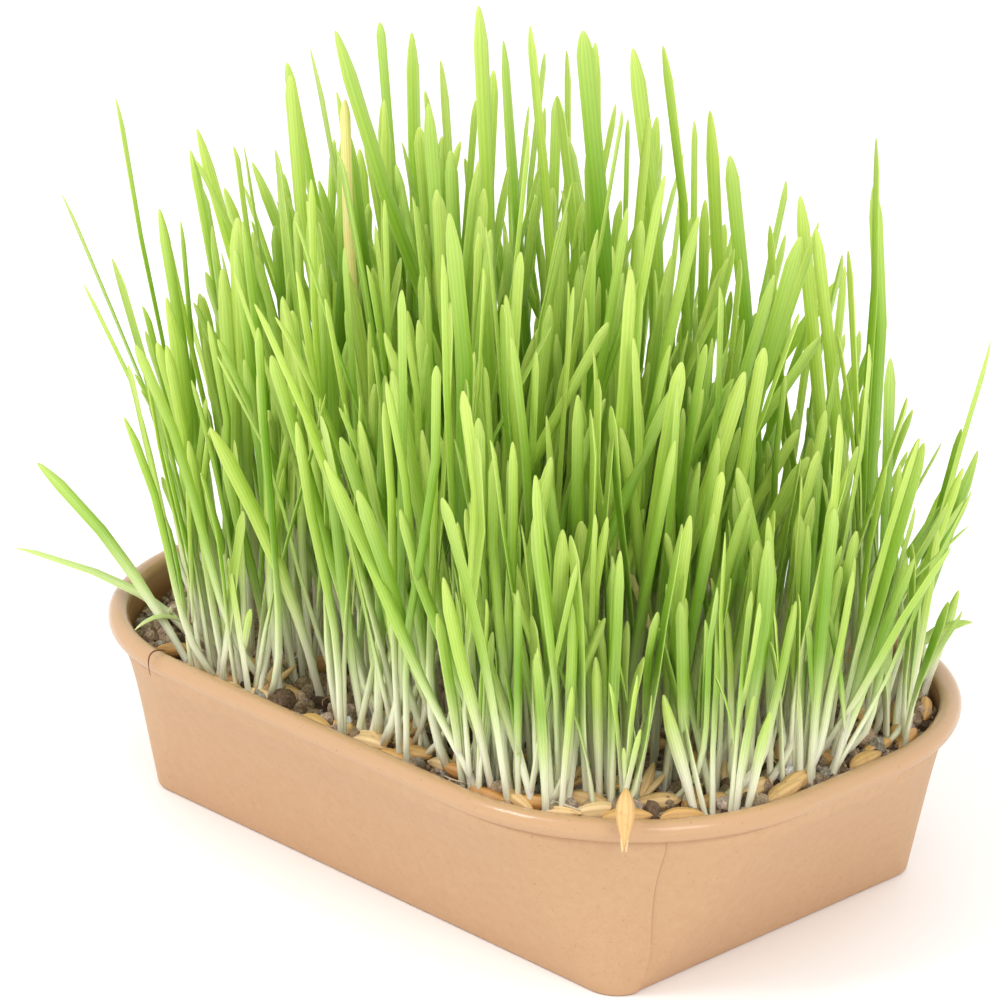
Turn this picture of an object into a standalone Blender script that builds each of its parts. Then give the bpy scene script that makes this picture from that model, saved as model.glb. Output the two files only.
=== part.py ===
"""Wheatgrass tray: a kraft-board food tray of growing medium with a sward of young grass.

Metres, +Z up. The origin lies on the surface that the tray stands on, under the tray's middle.
+X runs along the tray's long side, and the grass leans out over both ends.
"""
import math
import random

import bmesh
import bpy
import numpy as np
from mathutils import Vector

MM = 0.001

# Tray, over its rolled rim and at its foot
RIM_LENGTH = 172 * MM
RIM_WIDTH = 114 * MM
RIM_HEIGHT = 38.5 * MM
RIM_CORNER = 45.5 * MM
FOOT_LENGTH = 132 * MM
FOOT_WIDTH = 82 * MM
FOOT_CORNER = 6 * MM
BOARD = 0.75 * MM
CLEARANCE = 0.3 * MM
FIT_SLACK = 0.05 * MM

# The wall flares straight up to this height, where it lies this far inside the rim's edge
FLARE_TOP = 32 * MM
FLARE_TOP_INSET = 3.6 * MM

# Rolled rim: the board curls outward round this radius and stops short of the wall
ROLL_RADIUS = 2.1 * MM
ROLL_START = 180
ROLL_END = -112
ROLL_OUTER_STEPS = 8
ROLL_INNER_STEPS = 5

# Hem at the foot, turned in round the flange of the base
HEM_HEIGHT = 6 * MM
PANEL_UNDERSIDE = 6.5 * MM

# Glued overlap of the wrapped sleeve, close to the front corner
SEAM_ANGLE_FOOT = 352
SEAM_ANGLE_RIM = 324
SEAM_EDGE_ANGLE = 0.5
SEAM_FLANK_ANGLE = 4
SEAM_FLANK_STEPS = 3
LAP_STEP = 0.35 * MM
LAP_BLEND_POINTS = 3
CORNER_STEPS = 8

# Growing medium and the root mat set into it
BED_LEVEL = 33 * MM
BED_RISE_LENGTHWISE = 2.6 * MM
BED_RISE_TO_FRONT = 1.0 * MM
BED_CELL = 6 * MM
LUMP_HEIGHT = 1.3 * MM
LUMP_SHIFT = 1.6 * MM
LUMP_SEED = 7
POCKET_FLOOR = 24 * MM
POCKET_INSET = 5.5 * MM
CUTTER_TOP = RIM_HEIGHT + 10 * MM

# Grain: hulled barley or wheat
GRAIN_LENGTH = 9.5 * MM
GRAIN_WIDTH = 3.7 * MM
GRAIN_FLATNESS = 0.85
GRAIN_SIDES = 5
GRAIN_RINGS = 4
GRAIN_LIFT = 0.4 * MM
GRAIN_TILT = 0.2
GRAIN_CHANCE = 0.35
GRAINS_ON_MAT = 24
GRAINS_ON_SOIL = 12
GRAIN_SEED = 21
BORDER_LINE = 3.3 * MM
BORDER_SPREAD = 0.1 * MM

# The grain that hangs over the rim: path out past the rim's edge and up, in millimetres, then
# shares of the path with the width there
HANGING_ANGLE = 313.5
HANGING_PATH = [(-7.4, 34.3), (-0.8, 54), (4.6, 36.5)]
HANGING_SECTIONS = [(0, 1.6), (0.35, 1.2), (0.45, 1.7), (0.6, 3.4), (0.76, 3.9), (0.9, 2.6), (1, 0.8)]
HANGING_FLATNESS = 0.75

# Grass
BLADE_COUNT = 285
BLADE_SEED = 3
BLADE_GAP = 3.3 * MM
BLADE_CLEAR = 2.3 * MM
SAMPLES = 60
STEM_WIDTH = 1.8 * MM
STEM_THICKNESS = 1.4 * MM
BLADE_THICKNESS = 0.75 * MM
ROOT_DEPTH = 4 * MM
ROOT_INSET = 2.1 * MM
REACH_ALONG = 98 * MM
REACH_ACROSS = 68 * MM
REACH_MARGIN = 2 * MM
TRIES = 60

# A blade's sections: shares of its length, with how far each has widened from stem to leaf
SHORT_BLADE = 88 * MM
SHORT_SECTIONS = [(0, 0), (0.4, 0.6), (0.85, 0.9)]
LONG_SECTIONS = [(0, 0), (0.28, 0.25), (0.55, 1), (0.91, 0.8)]

# A blade's curve: how high and how far out its middle point lies, as shares, and its twist
MIDDLE_RISE = 0.55
MIDDLE_LEAN = (0.25, 0.6)
BLADE_TWIST = 0.6

# The fill: blades lean out from the bed's middle by height over these, and drift in waves
SPREAD_ALONG = 680 * MM
SPREAD_ACROSS = 560 * MM
DRIFT = 0.07
DRIFT_WAVES = (23 * MM, 31 * MM, 19 * MM, 37 * MM)
SWAY = 0.075
SWAY_GROWTH = 0.0015
HEIGHT_LEAST = 0.45
HEIGHT_VARIES = 0.48
WIDTH_USUAL = 3.1 * MM
WIDTH_VARIES = 0.6 * MM
WIDTH_LEAST = 2.2 * MM
WIDTH_MOST = 4.6 * MM

# Usual height of the grass by how far right of the middle it stands in the view, in millimetres
SWARD_HEIGHTS = [
    (-85, 80), (-70, 100), (-50, 96), (-46, 104), (-35, 118), (0, 124), (30, 116), (36, 90),
    (43, 84), (48, 98), (55, 92), (65, 74), (74, 56), (86, 46), (100, 40),
]
BARE_END = -63 * MM
TIPS_FROM = -75 * MM

# At the front corner the grass is young: this share of the usual height, full at this distance
FRONT_CORNER = (76 * MM, -46 * MM)
FRONT_SHARE = 0.36
FRONT_DISTANCE = 85 * MM

# The view that the named blades are laid out in: turned from +Y, tilted down, seen from this far
VIEW_TURN = math.radians(46.5)
VIEW_TILT = math.radians(21.5)
VIEW_DISTANCE = 960 * MM
VIEW_SHIFT_RIGHT = -5 * MM
VIEW_SHIFT_UP = 27.1 * MM
VIEW_ROUNDS = 8

# Named blades, in millimetres: root along and across the bed, tip to the right and up in the
# view, how far the tip leans away from the viewer, and the blade's width
NAMED_BLADES = [
    (-12, 4, -4.2, 95.0, 4, 4.6),
    (-14, 12, -31.7, 90.2, 0, 4.2),
    (-66, -28, -73.9, 77.2, 6, 4.0),
    (-58, -33, -74.5, 46.4, 2, 3.2),
    (-66, -6, -59.5, 67.2, 6, 3.0),
    (-60, -10, -51.4, 68.1, 4, 3.2),
    (-56, -2, -49.3, 68.1, 8, 3.0),
    (-50, 4, -42.6, 61.8, 4, 3.4),
    (-44, -6, -40.3, 81.6, 4, 3.4),
    (-40, 2, -36.5, 86.8, 6, 4.2),
    (-22, 10, -11.5, 84.5, 4, 4.0),
    (-8, 14, 0.6, 88.3, 2, 3.4),
    (-2, 18, 5.8, 91.2, 4, 3.2),
    (6, 12, 10.9, 77.7, 2, 3.6),
    (8, 22, 15.9, 90.2, 4, 4.4),
    (14, 28, 25.5, 86.8, 2, 4.0),
    (20, 30, 31.3, 87.3, 4, 3.4),
    (24, 34, 40.3, 74.9, 2, 4.0),
    (34, 34, 44.1, 66.2, 2, 3.4),
    (44, 34, 51.8, 52.8, 2, 3.0),
    (48, 38, 57.6, 58.5, 2, 3.2),
    (56, 34, 60.7, 52.2, 0, 3.0),
    (60, 28, 72.2, 69.7, 6, 3.6),
    (60, 34, 71.8, 60.5, 4, 3.2),
    (64, 26, 66.8, 48.0, 0, 2.8),
    (66, 28, 74.9, 27.3, 0, 3.4),
    (60, 36, 91.7, 9.6, 0, 3.8),
    (62, 31, 94.1, 30.7, 2, 3.2),
]

# Blades that reach out past the rim: root along and across, tip along, across and height, width
REACHING_BLADES = [
    (-47, -40, -98, -47, 42, 2.4),
    (-44, -45, -91, -46, 62, 3.0),
    (58, 40, 70.7, 48.4, 50, 2.6),
    (70, 2, 98, 10, 84, 2.8),
    (20, -38, 28, -68, 96, 3.2),
    (-20, 38, -26, 68, 116, 3.4),
]

# A reaching blade rises at least this much before it leans, to clear the rim
ARCH_LEAST = 18 * MM
ARCH_LEAN = 0.12


def collection(name):
    """A new collection in the scene."""
    made = bpy.data.collections.new(name)
    bpy.context.scene.collection.children.link(made)
    return made


def material(name, color, roughness):
    """A Principled material of one colour."""
    made = bpy.data.materials.new(name)
    made.use_nodes = True
    shader = made.node_tree.nodes["Principled BSDF"]
    shader.inputs["Base Color"].default_value = (*color, 1)
    shader.inputs["Roughness"].default_value = roughness
    shader.inputs["Metallic"].default_value = 0
    return made


def mesh_object(name, bm, home, finish):
    """An object from a bmesh, with its faces pointing out."""
    bm.normal_update()
    bmesh.ops.recalc_face_normals(bm, faces=bm.faces)
    mesh = bpy.data.meshes.new(name)
    bm.to_mesh(mesh)
    bm.free()
    made = bpy.data.objects.new(name, mesh)
    home.objects.link(made)
    if finish:
        mesh.materials.append(finish)
    return made


def skin(bm, loops, closed):
    """Faces between neighbouring loops of as many points each, round to the first if closed."""
    rows = [[bm.verts.new(point) for point in loop] for loop in loops]
    pairs = list(zip(rows, rows[1:]))
    if closed:
        pairs.append((rows[-1], rows[0]))
    for low, high in pairs:
        for here in range(len(low)):
            after = (here + 1) % len(low)
            bm.faces.new((low[here], low[after], high[after], high[here]))
    return rows


def spread(start, end, steps):
    """Evenly spaced values from start up to, but without, end."""
    return [start + (end - start) * step / steps for step in range(steps)]


def outline(half_x, half_y, radius, front_angles):
    """Rounded rectangle, counter-clockwise, with its own angles on the front corner."""
    even = spread(0, 90, CORNER_STEPS) + [90]
    corners = [
        (1, 1, even),
        (-1, 1, [90 + angle for angle in even]),
        (-1, -1, [180 + angle for angle in even]),
        (1, -1, front_angles),
    ]
    points = []
    for side_x, side_y, angles in corners:
        for angle in angles:
            turn = math.radians(angle)
            x = side_x * (half_x - radius) + radius * math.cos(turn)
            y = side_y * (half_y - radius) + radius * math.sin(turn)
            points.append((x, y))
    return points


def seam_angles(height):
    """Angles on the front corner, closer on either side of the seam where it is at this height."""
    share = min(height / FLARE_TOP, 1)
    seam = SEAM_ANGLE_FOOT + (SEAM_ANGLE_RIM - SEAM_ANGLE_FOOT) * share
    flank = spread(seam + SEAM_FLANK_ANGLE, 360, SEAM_FLANK_STEPS)
    return spread(270, seam, CORNER_STEPS) + [seam, seam + SEAM_EDGE_ANGLE] + flank + [360]


def wall_sizes(height, inset):
    """Half length, half width and corner radius of the wall, this far inside its outer face."""
    share = min(max(height / FLARE_TOP, 0), 1)
    foot = (FOOT_LENGTH / 2, FOOT_WIDTH / 2, FOOT_CORNER)
    top = (RIM_LENGTH / 2, RIM_WIDTH / 2, RIM_CORNER)
    sizes = []
    for low, high in zip(foot, top):
        sizes.append(low + (high - FLARE_TOP_INSET - low) * share - inset)
    return sizes


def wall_loop(height, inset):
    """Loop on the wall at a height, this far inside its outer face."""
    flat = outline(*wall_sizes(height, inset), seam_angles(RIM_HEIGHT))
    return [Vector((x, y, height)) for x, y in flat]


def lapped_loop(height):
    """Loop on the wall's outer face, raised by the lap on one side of the slanting seam."""
    angles = seam_angles(height)
    flat = outline(*wall_sizes(height, 0), angles)
    loop = [Vector((x, y, height)) for x, y in flat]
    corner_start = len(loop) - len(angles)
    for back in range(LAP_BLEND_POINTS):
        number = CORNER_STEPS - back
        turn = math.radians(angles[number])
        raised = LAP_STEP * (1 - back / LAP_BLEND_POINTS)
        loop[corner_start + number] += Vector((math.cos(turn), math.sin(turn), 0)) * raised
    return loop


def rim_loop(height, inset):
    """Loop on the rolled rim, this far inside the rim's outer edge."""
    sizes = (RIM_LENGTH / 2 - inset, RIM_WIDTH / 2 - inset, RIM_CORNER - inset)
    flat = outline(*sizes, seam_angles(RIM_HEIGHT))
    return [Vector((x, y, height)) for x, y in flat]


def roll_loops(radius, start, end, steps):
    """Loops round the rolled rim, from one angle of its section to another."""
    loops = []
    for step in range(steps + 1):
        turn = math.radians(start + (end - start) * step / steps)
        inset = ROLL_RADIUS - radius * math.cos(turn)
        height = RIM_HEIGHT - ROLL_RADIUS + radius * math.sin(turn)
        loops.append(rim_loop(height, inset))
    return loops


def build_sleeve(home):
    """Wrapped board wall with its rolled rim above and its hem below, as one closed section."""
    channel = BOARD + 2 * CLEARANCE + BOARD
    loops = [lapped_loop(0), lapped_loop(FLARE_TOP)]
    loops += roll_loops(ROLL_RADIUS - BOARD, ROLL_START, ROLL_END, ROLL_INNER_STEPS)
    loops += roll_loops(ROLL_RADIUS, ROLL_END, ROLL_START, ROLL_OUTER_STEPS)
    loops += [
        wall_loop(FLARE_TOP, BOARD),
        wall_loop(BOARD, BOARD),
        wall_loop(BOARD, channel),
        wall_loop(HEM_HEIGHT, channel),
        wall_loop(HEM_HEIGHT, channel + BOARD),
        wall_loop(0, channel + BOARD),
    ]
    bm = bmesh.new()
    skin(bm, loops, closed=True)
    kraft = material("kraft board", (0.73, 0.47, 0.26), 0.7)
    return mesh_object("tray_sleeve", bm, home, kraft)


def build_base(home):
    """Base panel with its flange turned down between the sleeve and the hem."""
    outer = BOARD + CLEARANCE
    inner = outer + BOARD
    flange_low = BOARD + CLEARANCE
    bm = bmesh.new()
    rows = skin(
        bm,
        [
            wall_loop(PANEL_UNDERSIDE + BOARD, outer),
            wall_loop(flange_low, outer),
            wall_loop(flange_low, inner),
            wall_loop(PANEL_UNDERSIDE, inner),
        ],
        closed=False,
    )
    bm.faces.new(rows[0])
    bm.faces.new(rows[-1])
    inside = material("kraft board inside", (0.62, 0.38, 0.2), 0.8)
    return mesh_object("tray_base", bm, home, inside)


def bed_height(x, y):
    """Level of the bed before its lumps: a little higher towards the front corner."""
    lengthwise = BED_RISE_LENGTHWISE * x / (RIM_LENGTH / 2)
    to_front = BED_RISE_TO_FRONT * y / (RIM_WIDTH / 2)
    return BED_LEVEL + lengthwise - to_front


def lumpy_block(name, home):
    """Block under a crumbly surface, wide enough to be cut to any outline in the tray."""
    draw = random.Random(LUMP_SEED)
    bm = bmesh.new()
    along = round(RIM_LENGTH / BED_CELL) + 1
    across = round(RIM_WIDTH / BED_CELL) + 1
    bmesh.ops.create_grid(bm, x_segments=along, y_segments=across, size=0.5)
    for vert in bm.verts:
        x = vert.co.x * along * BED_CELL + draw.uniform(-LUMP_SHIFT, LUMP_SHIFT)
        y = vert.co.y * across * BED_CELL + draw.uniform(-LUMP_SHIFT, LUMP_SHIFT)
        lump = draw.uniform(-LUMP_HEIGHT, LUMP_HEIGHT)
        vert.co = (x, y, bed_height(x, y) + lump)
    sunk = bmesh.ops.extrude_face_region(bm, geom=bm.faces[:])
    for item in sunk["geom"]:
        if isinstance(item, bmesh.types.BMVert):
            item.co.z = 0
    bmesh.ops.triangulate(bm, faces=bm.faces)
    return mesh_object(name, bm, home, None)


def prism(name, home, loops):
    """Closed solid between a lowest and a highest loop."""
    bm = bmesh.new()
    rows = skin(bm, loops, closed=False)
    bm.faces.new(rows[0])
    bm.faces.new(rows[-1])
    return mesh_object(name, bm, home, None)


def apply_boolean(target, operation, solver, other=None, group=None):
    """Apply one Boolean on the target, with an object or a whole collection."""
    boolean = target.modifiers.new(operation.lower(), "BOOLEAN")
    boolean.operation = operation
    boolean.solver = solver
    if group:
        boolean.operand_type = "COLLECTION"
        boolean.collection = group
    else:
        boolean.object = other
    evaluated = target.evaluated_get(bpy.context.evaluated_depsgraph_get())
    shape = bpy.data.meshes.new_from_object(evaluated)
    target.modifiers.clear()
    old = target.data
    target.data = shape
    shape.name = target.name
    bpy.data.meshes.remove(old)
    used = list(group.objects) if group else [other]
    for piece in used:
        bpy.data.objects.remove(piece)


def pocket_loops(inset):
    """Upright outline of the pocket in the bed, from below its floor to above the bed."""
    half_x, half_y, radius = wall_sizes(FLARE_TOP, POCKET_INSET + inset)
    flat = outline(half_x, half_y, radius, spread(270, 360, CORNER_STEPS) + [360])
    low = [Vector((x, y, POCKET_FLOOR + inset)) for x, y in flat]
    high = [Vector((x, y, CUTTER_TOP)) for x, y in flat]
    return [low, high]


def plug_loops():
    """The room inside the tray, from the base panel up, clear of the board."""
    inset = BOARD + CLEARANCE + FIT_SLACK
    floor = PANEL_UNDERSIDE + BOARD + CLEARANCE
    loops = [wall_loop(floor, inset), wall_loop(FLARE_TOP, inset)]
    top = wall_loop(FLARE_TOP, inset)
    for point in top:
        point.z = CUTTER_TOP
    loops.append(top)
    return loops


def path_frame(path, share):
    """Point and direction at a share of a three-point curve."""
    start, middle, end = path
    rest = 1 - share
    point = start * rest * rest + middle * 2 * share * rest + end * share * share
    ahead = (middle - start) * rest + (end - middle) * share
    return point, ahead.normalized()


def blade_mesh(bm, blade):
    """Three-sided blade: a stalk below, a flat leaf with a low ridge above, a point at the tip."""
    path = blade["path"]
    length = (path[2] - path[0]).length
    sections = SHORT_SECTIONS if length < SHORT_BLADE else LONG_SECTIONS
    loops = []
    for share, leaf in sections:
        point, ahead = path_frame(path, share)
        facing = blade["facing"] + blade["twist"] * share
        side = Vector((math.cos(facing), math.sin(facing), 0))
        side = (side - ahead * side.dot(ahead)).normalized()
        ridge = ahead.cross(side)
        width = STEM_WIDTH + (blade["width"] - STEM_WIDTH) * leaf
        thickness = STEM_THICKNESS + (BLADE_THICKNESS - STEM_THICKNESS) * leaf
        loops.append([
            point - side * width / 2 - ridge * thickness / 3,
            point + side * width / 2 - ridge * thickness / 3,
            point + ridge * thickness * 2 / 3,
        ])
    rows = skin(bm, loops, closed=False)
    bm.faces.new(rows[0])
    tip = bm.verts.new(path[2])
    last = rows[-1]
    for here in range(3):
        bm.faces.new((last[here], last[(here + 1) % 3], tip))


def view_point(right, up, depth):
    """The point at a horizontal depth that the view shows this far right and up of its middle."""
    scale = VIEW_DISTANCE
    height = RIM_HEIGHT
    for _ in range(VIEW_ROUNDS):
        above = height - RIM_HEIGHT
        far = VIEW_DISTANCE + depth * math.cos(VIEW_TILT) - above * math.sin(VIEW_TILT)
        rise = up * far / scale + VIEW_SHIFT_UP - depth * math.sin(VIEW_TILT)
        height = RIM_HEIGHT + rise / math.cos(VIEW_TILT)
    sideways = right * far / scale + VIEW_SHIFT_RIGHT
    x = sideways * math.cos(VIEW_TURN) - depth * math.sin(VIEW_TURN)
    y = sideways * math.sin(VIEW_TURN) + depth * math.cos(VIEW_TURN)
    return Vector((x, y, height))


def view_depth(x, y):
    """How far a point of the bed lies behind the tray's middle in the view."""
    return y * math.cos(VIEW_TURN) - x * math.sin(VIEW_TURN)


def view_across(x, y):
    """How far a point of the bed lies to the right of the tray's middle in the view."""
    return x * math.cos(VIEW_TURN) + y * math.sin(VIEW_TURN)


def make_blade(root, tip, width, draw):
    """A blade from its root in the bed to its tip, upright at first and then leaning."""
    start = Vector((root[0], root[1], bed_height(*root) - ROOT_DEPTH))
    rise = tip.z - start.z
    lean = Vector((tip.x - start.x, tip.y - start.y, 0))
    middle = start + Vector((0, 0, rise * MIDDLE_RISE)) + lean * draw.uniform(*MIDDLE_LEAN)
    return {
        "path": (start, middle, tip),
        "width": width,
        "facing": draw.uniform(0, math.pi),
        "twist": draw.uniform(-BLADE_TWIST, BLADE_TWIST),
    }


def arched_blade(root, tip, width, draw):
    """A blade that rises from its root and then reaches out over the rim."""
    blade = make_blade(root, tip, width, draw)
    start, middle, end = blade["path"]
    if middle.z - start.z < ARCH_LEAST:
        middle = start.lerp(Vector((end.x, end.y, start.z)), ARCH_LEAN)
        middle.z = start.z + ARCH_LEAST
        blade["path"] = (start, middle, end)
    return blade


def sward_height(x, y):
    """Usual height of the grass above the bed at a place: tall in the middle, short at the front."""
    places = [place * MM for place, _ in SWARD_HEIGHTS]
    tall = [height * MM for _, height in SWARD_HEIGHTS]
    usual = float(np.interp(view_across(x, y), places, tall))
    corner = math.hypot(x - FRONT_CORNER[0], y - FRONT_CORNER[1])
    return usual * min(FRONT_SHARE + corner / FRONT_DISTANCE, 1)


def inside_wall(x, y, inset):
    """Whether a place lies at least this far inside the wall's outer face where it flares most."""
    half_x, half_y, radius = wall_sizes(FLARE_TOP, inset)
    over_x = max(abs(x) - (half_x - radius), 0)
    over_y = max(abs(y) - (half_y - radius), 0)
    return abs(x) < half_x and abs(y) < half_y and math.hypot(over_x, over_y) < radius


def samples(blade):
    """Points along a blade, for keeping blades apart."""
    start, middle, end = (np.array(point) for point in blade["path"])
    share = np.linspace(0, 1, SAMPLES)[:, None]
    return start * (1 - share) ** 2 + middle * 2 * share * (1 - share) + end * share ** 2


def crosses(line, crowd):
    """Whether a blade comes closer to the others than blades may."""
    low = line.min(axis=0) - BLADE_CLEAR
    high = line.max(axis=0) + BLADE_CLEAR
    near = crowd[np.all((crowd > low) & (crowd < high), axis=1)]
    if not len(near):
        return False
    gaps = line[:, None] - near[None]
    return (gaps ** 2).sum(axis=2).min() < BLADE_CLEAR ** 2


def grown_blade(root, attempt, draw):
    """A blade of the fill: it leans with its neighbours and away from the bed's middle."""
    height = sward_height(*root) * (HEIGHT_LEAST + HEIGHT_VARIES * draw.random())
    sway = height * (SWAY + SWAY_GROWTH * attempt)
    first, second, third, fourth = DRIFT_WAVES
    drift_x = DRIFT * height * math.sin(root.x / first + root.y / second)
    drift_y = DRIFT * height * math.cos(root.y / third - root.x / fourth)
    tip_x = root.x * (1 + height / SPREAD_ALONG) + drift_x + draw.gauss(0, sway)
    tip_y = root.y * (1 + height / SPREAD_ACROSS) + drift_y + draw.gauss(0, sway)
    limit_x = REACH_ALONG - REACH_MARGIN
    limit_y = REACH_ACROSS - REACH_MARGIN
    tip_x = min(max(tip_x, -limit_x), limit_x)
    tip_y = min(max(tip_y, -limit_y), limit_y)
    beyond = max(TIPS_FROM - view_across(tip_x, tip_y), 0)
    tip_x += beyond * math.cos(VIEW_TURN)
    tip_y += beyond * math.sin(VIEW_TURN)
    height = min(height, sward_height(tip_x, tip_y))
    tip = Vector((tip_x, tip_y, bed_height(*root) + height))
    width = min(max(draw.gauss(WIDTH_USUAL, WIDTH_VARIES), WIDTH_LEAST), WIDTH_MOST)
    return make_blade(root, tip, width, draw)


def sward():
    """All blades in a fixed order: the named ones, the far-reaching ones, then a seeded fill."""
    draw = random.Random(BLADE_SEED)
    blades = []
    for along, across, right, up, back, width in NAMED_BLADES:
        root = (along * MM, across * MM)
        tip = view_point(right * MM, up * MM, view_depth(*root) + back * MM)
        blades.append(make_blade(root, tip, width * MM, draw))
    for along, across, tip_along, tip_across, tip_height, width in REACHING_BLADES:
        tip = Vector((tip_along, tip_across, tip_height)) * MM
        blades.append(arched_blade((along * MM, across * MM), tip, width * MM, draw))
    roots = [blade["path"][0].to_2d() for blade in blades]
    crowd = np.concatenate([samples(blade) for blade in blades])
    while len(blades) < BLADE_COUNT:
        along = draw.uniform(-0.5, 0.5) * RIM_LENGTH
        across = draw.uniform(-0.5, 0.5) * RIM_WIDTH
        root = Vector((along, across))
        if view_across(along, across) < BARE_END:
            continue
        if not inside_wall(along, across, POCKET_INSET + ROOT_INSET):
            continue
        if min((root - other).length for other in roots) < BLADE_GAP:
            continue
        for attempt in range(TRIES):
            blade = grown_blade(root, attempt, draw)
            line = samples(blade)
            if not crosses(line, crowd):
                blades.append(blade)
                roots.append(root)
                crowd = np.concatenate([crowd, line])
                break
    return blades


def grain(name, home, place, turn, tilt):
    """One hulled grain: a pointed, slightly flattened body, half sunk in what it lies on."""
    bm = bmesh.new()
    bmesh.ops.create_uvsphere(bm, u_segments=GRAIN_SIDES, v_segments=GRAIN_RINGS, radius=0.5)
    for vert in bm.verts:
        across, up, along = vert.co
        vert.co = (along * GRAIN_LENGTH, across * GRAIN_WIDTH, up * GRAIN_WIDTH * GRAIN_FLATNESS)
    made = mesh_object(name, bm, home, None)
    made.rotation_euler = (0, tilt, turn)
    made.location = place
    return made


def edge_turn(x, y):
    """Direction along the tray's edge at a place close to it."""
    half_x, half_y, radius = wall_sizes(FLARE_TOP, 0)
    out_x = math.copysign(max(abs(x) - (half_x - radius), 0), x)
    out_y = math.copysign(max(abs(y) - (half_y - radius), 0), y)
    return math.atan2(out_y, out_x) + math.pi / 2


def hanging_grain(group):
    """The grain that hangs out over the front corner of the rim by its sprout."""
    turn = math.radians(HANGING_ANGLE)
    outward = Vector((math.cos(turn), math.sin(turn), 0))
    half_x, half_y = RIM_LENGTH / 2, RIM_WIDTH / 2
    edge = Vector((half_x - RIM_CORNER, RIM_CORNER - half_y, 0)) + outward * RIM_CORNER
    path = [edge + outward * out * MM + Vector((0, 0, up * MM)) for out, up in HANGING_PATH]
    side = outward.cross(Vector((0, 0, 1)))
    loops = []
    for share, width in HANGING_SECTIONS:
        point, ahead = path_frame(path, share)
        ridge = ahead.cross(side)
        ring = []
        for step in range(GRAIN_SIDES):
            around = math.tau * step / GRAIN_SIDES
            across = side * math.cos(around) + ridge * math.sin(around) * HANGING_FLATNESS
            ring.append(point + across * width * MM / 2)
        loops.append(ring)
    bm = bmesh.new()
    rows = skin(bm, loops, closed=False)
    bm.faces.new(rows[0])
    bm.faces.new(rows[-1])
    mesh_object("hanging_grain", bm, group, None)


def scatter_grains(group, count, fits, seed):
    """Grains lying at random where fits allows, most of them towards the front corner."""
    draw = random.Random(seed)
    places = []
    while len(places) < count:
        x = draw.uniform(-0.5, 0.5) * RIM_LENGTH
        y = draw.uniform(-0.5, 0.5) * RIM_WIDTH
        toward_front = -view_depth(x, y) / (RIM_LENGTH / 2)
        if draw.random() > GRAIN_CHANCE + toward_front or not fits(x, y):
            continue
        if any(math.hypot(x - other[0], y - other[1]) < GRAIN_LENGTH for other in places):
            continue
        places.append((x, y))
        place = Vector((x, y, bed_height(x, y) + GRAIN_LIFT))
        turn = draw.uniform(0, math.pi)
        if not inside_wall(x, y, POCKET_INSET):
            turn = edge_turn(x, y)
        tilt = draw.uniform(-GRAIN_TILT, GRAIN_TILT)
        grain(f"grain_{seed}_{len(places)}", group, place, turn, tilt)


def build_medium(home, cutters):
    """Growing medium that fills the tray, with a pocket for the root mat and grains at its edge."""
    soil = lumpy_block("growing_medium", home)
    soil.data.materials.append(material("growing medium", (0.09, 0.06, 0.04), 0.95))
    apply_boolean(soil, "INTERSECT", "EXACT", other=prism("room_in_tray", cutters, plug_loops()))
    apply_boolean(soil, "DIFFERENCE", "EXACT", other=prism("pocket", cutters, pocket_loops(0)))

    def on_border(x, y):
        outer = inside_wall(x, y, BORDER_LINE - BORDER_SPREAD)
        return outer and not inside_wall(x, y, BORDER_LINE + BORDER_SPREAD)

    grains = collection("grains_on_soil")
    scatter_grains(grains, GRAINS_ON_SOIL, on_border, GRAIN_SEED)
    hanging_grain(grains)
    apply_boolean(soil, "UNION", "EXACT", group=grains)
    bpy.data.collections.remove(grains)
    return soil


def build_sward(home, cutters):
    """Root mat in its pocket with the grains and blades that grow from it, joined in one body."""
    mat = lumpy_block("grass_sward", home)
    mat.data.materials.append(material("young grass", (0.29, 0.52, 0.1), 0.5))
    mat_room = prism("mat_room", cutters, pocket_loops(CLEARANCE + FIT_SLACK))
    apply_boolean(mat, "INTERSECT", "EXACT", other=mat_room)
    growth = collection("growth")

    def on_mat(x, y):
        return inside_wall(x, y, POCKET_INSET + GRAIN_LENGTH / 2)

    scatter_grains(growth, GRAINS_ON_MAT, on_mat, GRAIN_SEED + 1)
    for number, blade in enumerate(sward()):
        bm = bmesh.new()
        blade_mesh(bm, blade)
        mesh_object(f"blade_{number}", bm, growth, None)
    apply_boolean(mat, "UNION", "MANIFOLD", group=growth)
    bpy.data.collections.remove(growth)
    return mat


def main():
    for old in list(bpy.data.objects):
        bpy.data.objects.remove(old)
    parts = collection("wheatgrass_tray")
    cutters = collection("cutters")
    build_sleeve(parts)
    build_base(parts)
    build_medium(parts, cutters)
    build_sward(parts, cutters)


main()
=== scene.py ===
"""Wheatgrass in a kraft-board tray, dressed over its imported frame.

Metres, +Z up, the origin on the standing surface under the tray's middle.
"""
import math
import random

import bmesh
import bpy
import numpy as np
from mathutils import Euler, Matrix, Vector, noise


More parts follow.
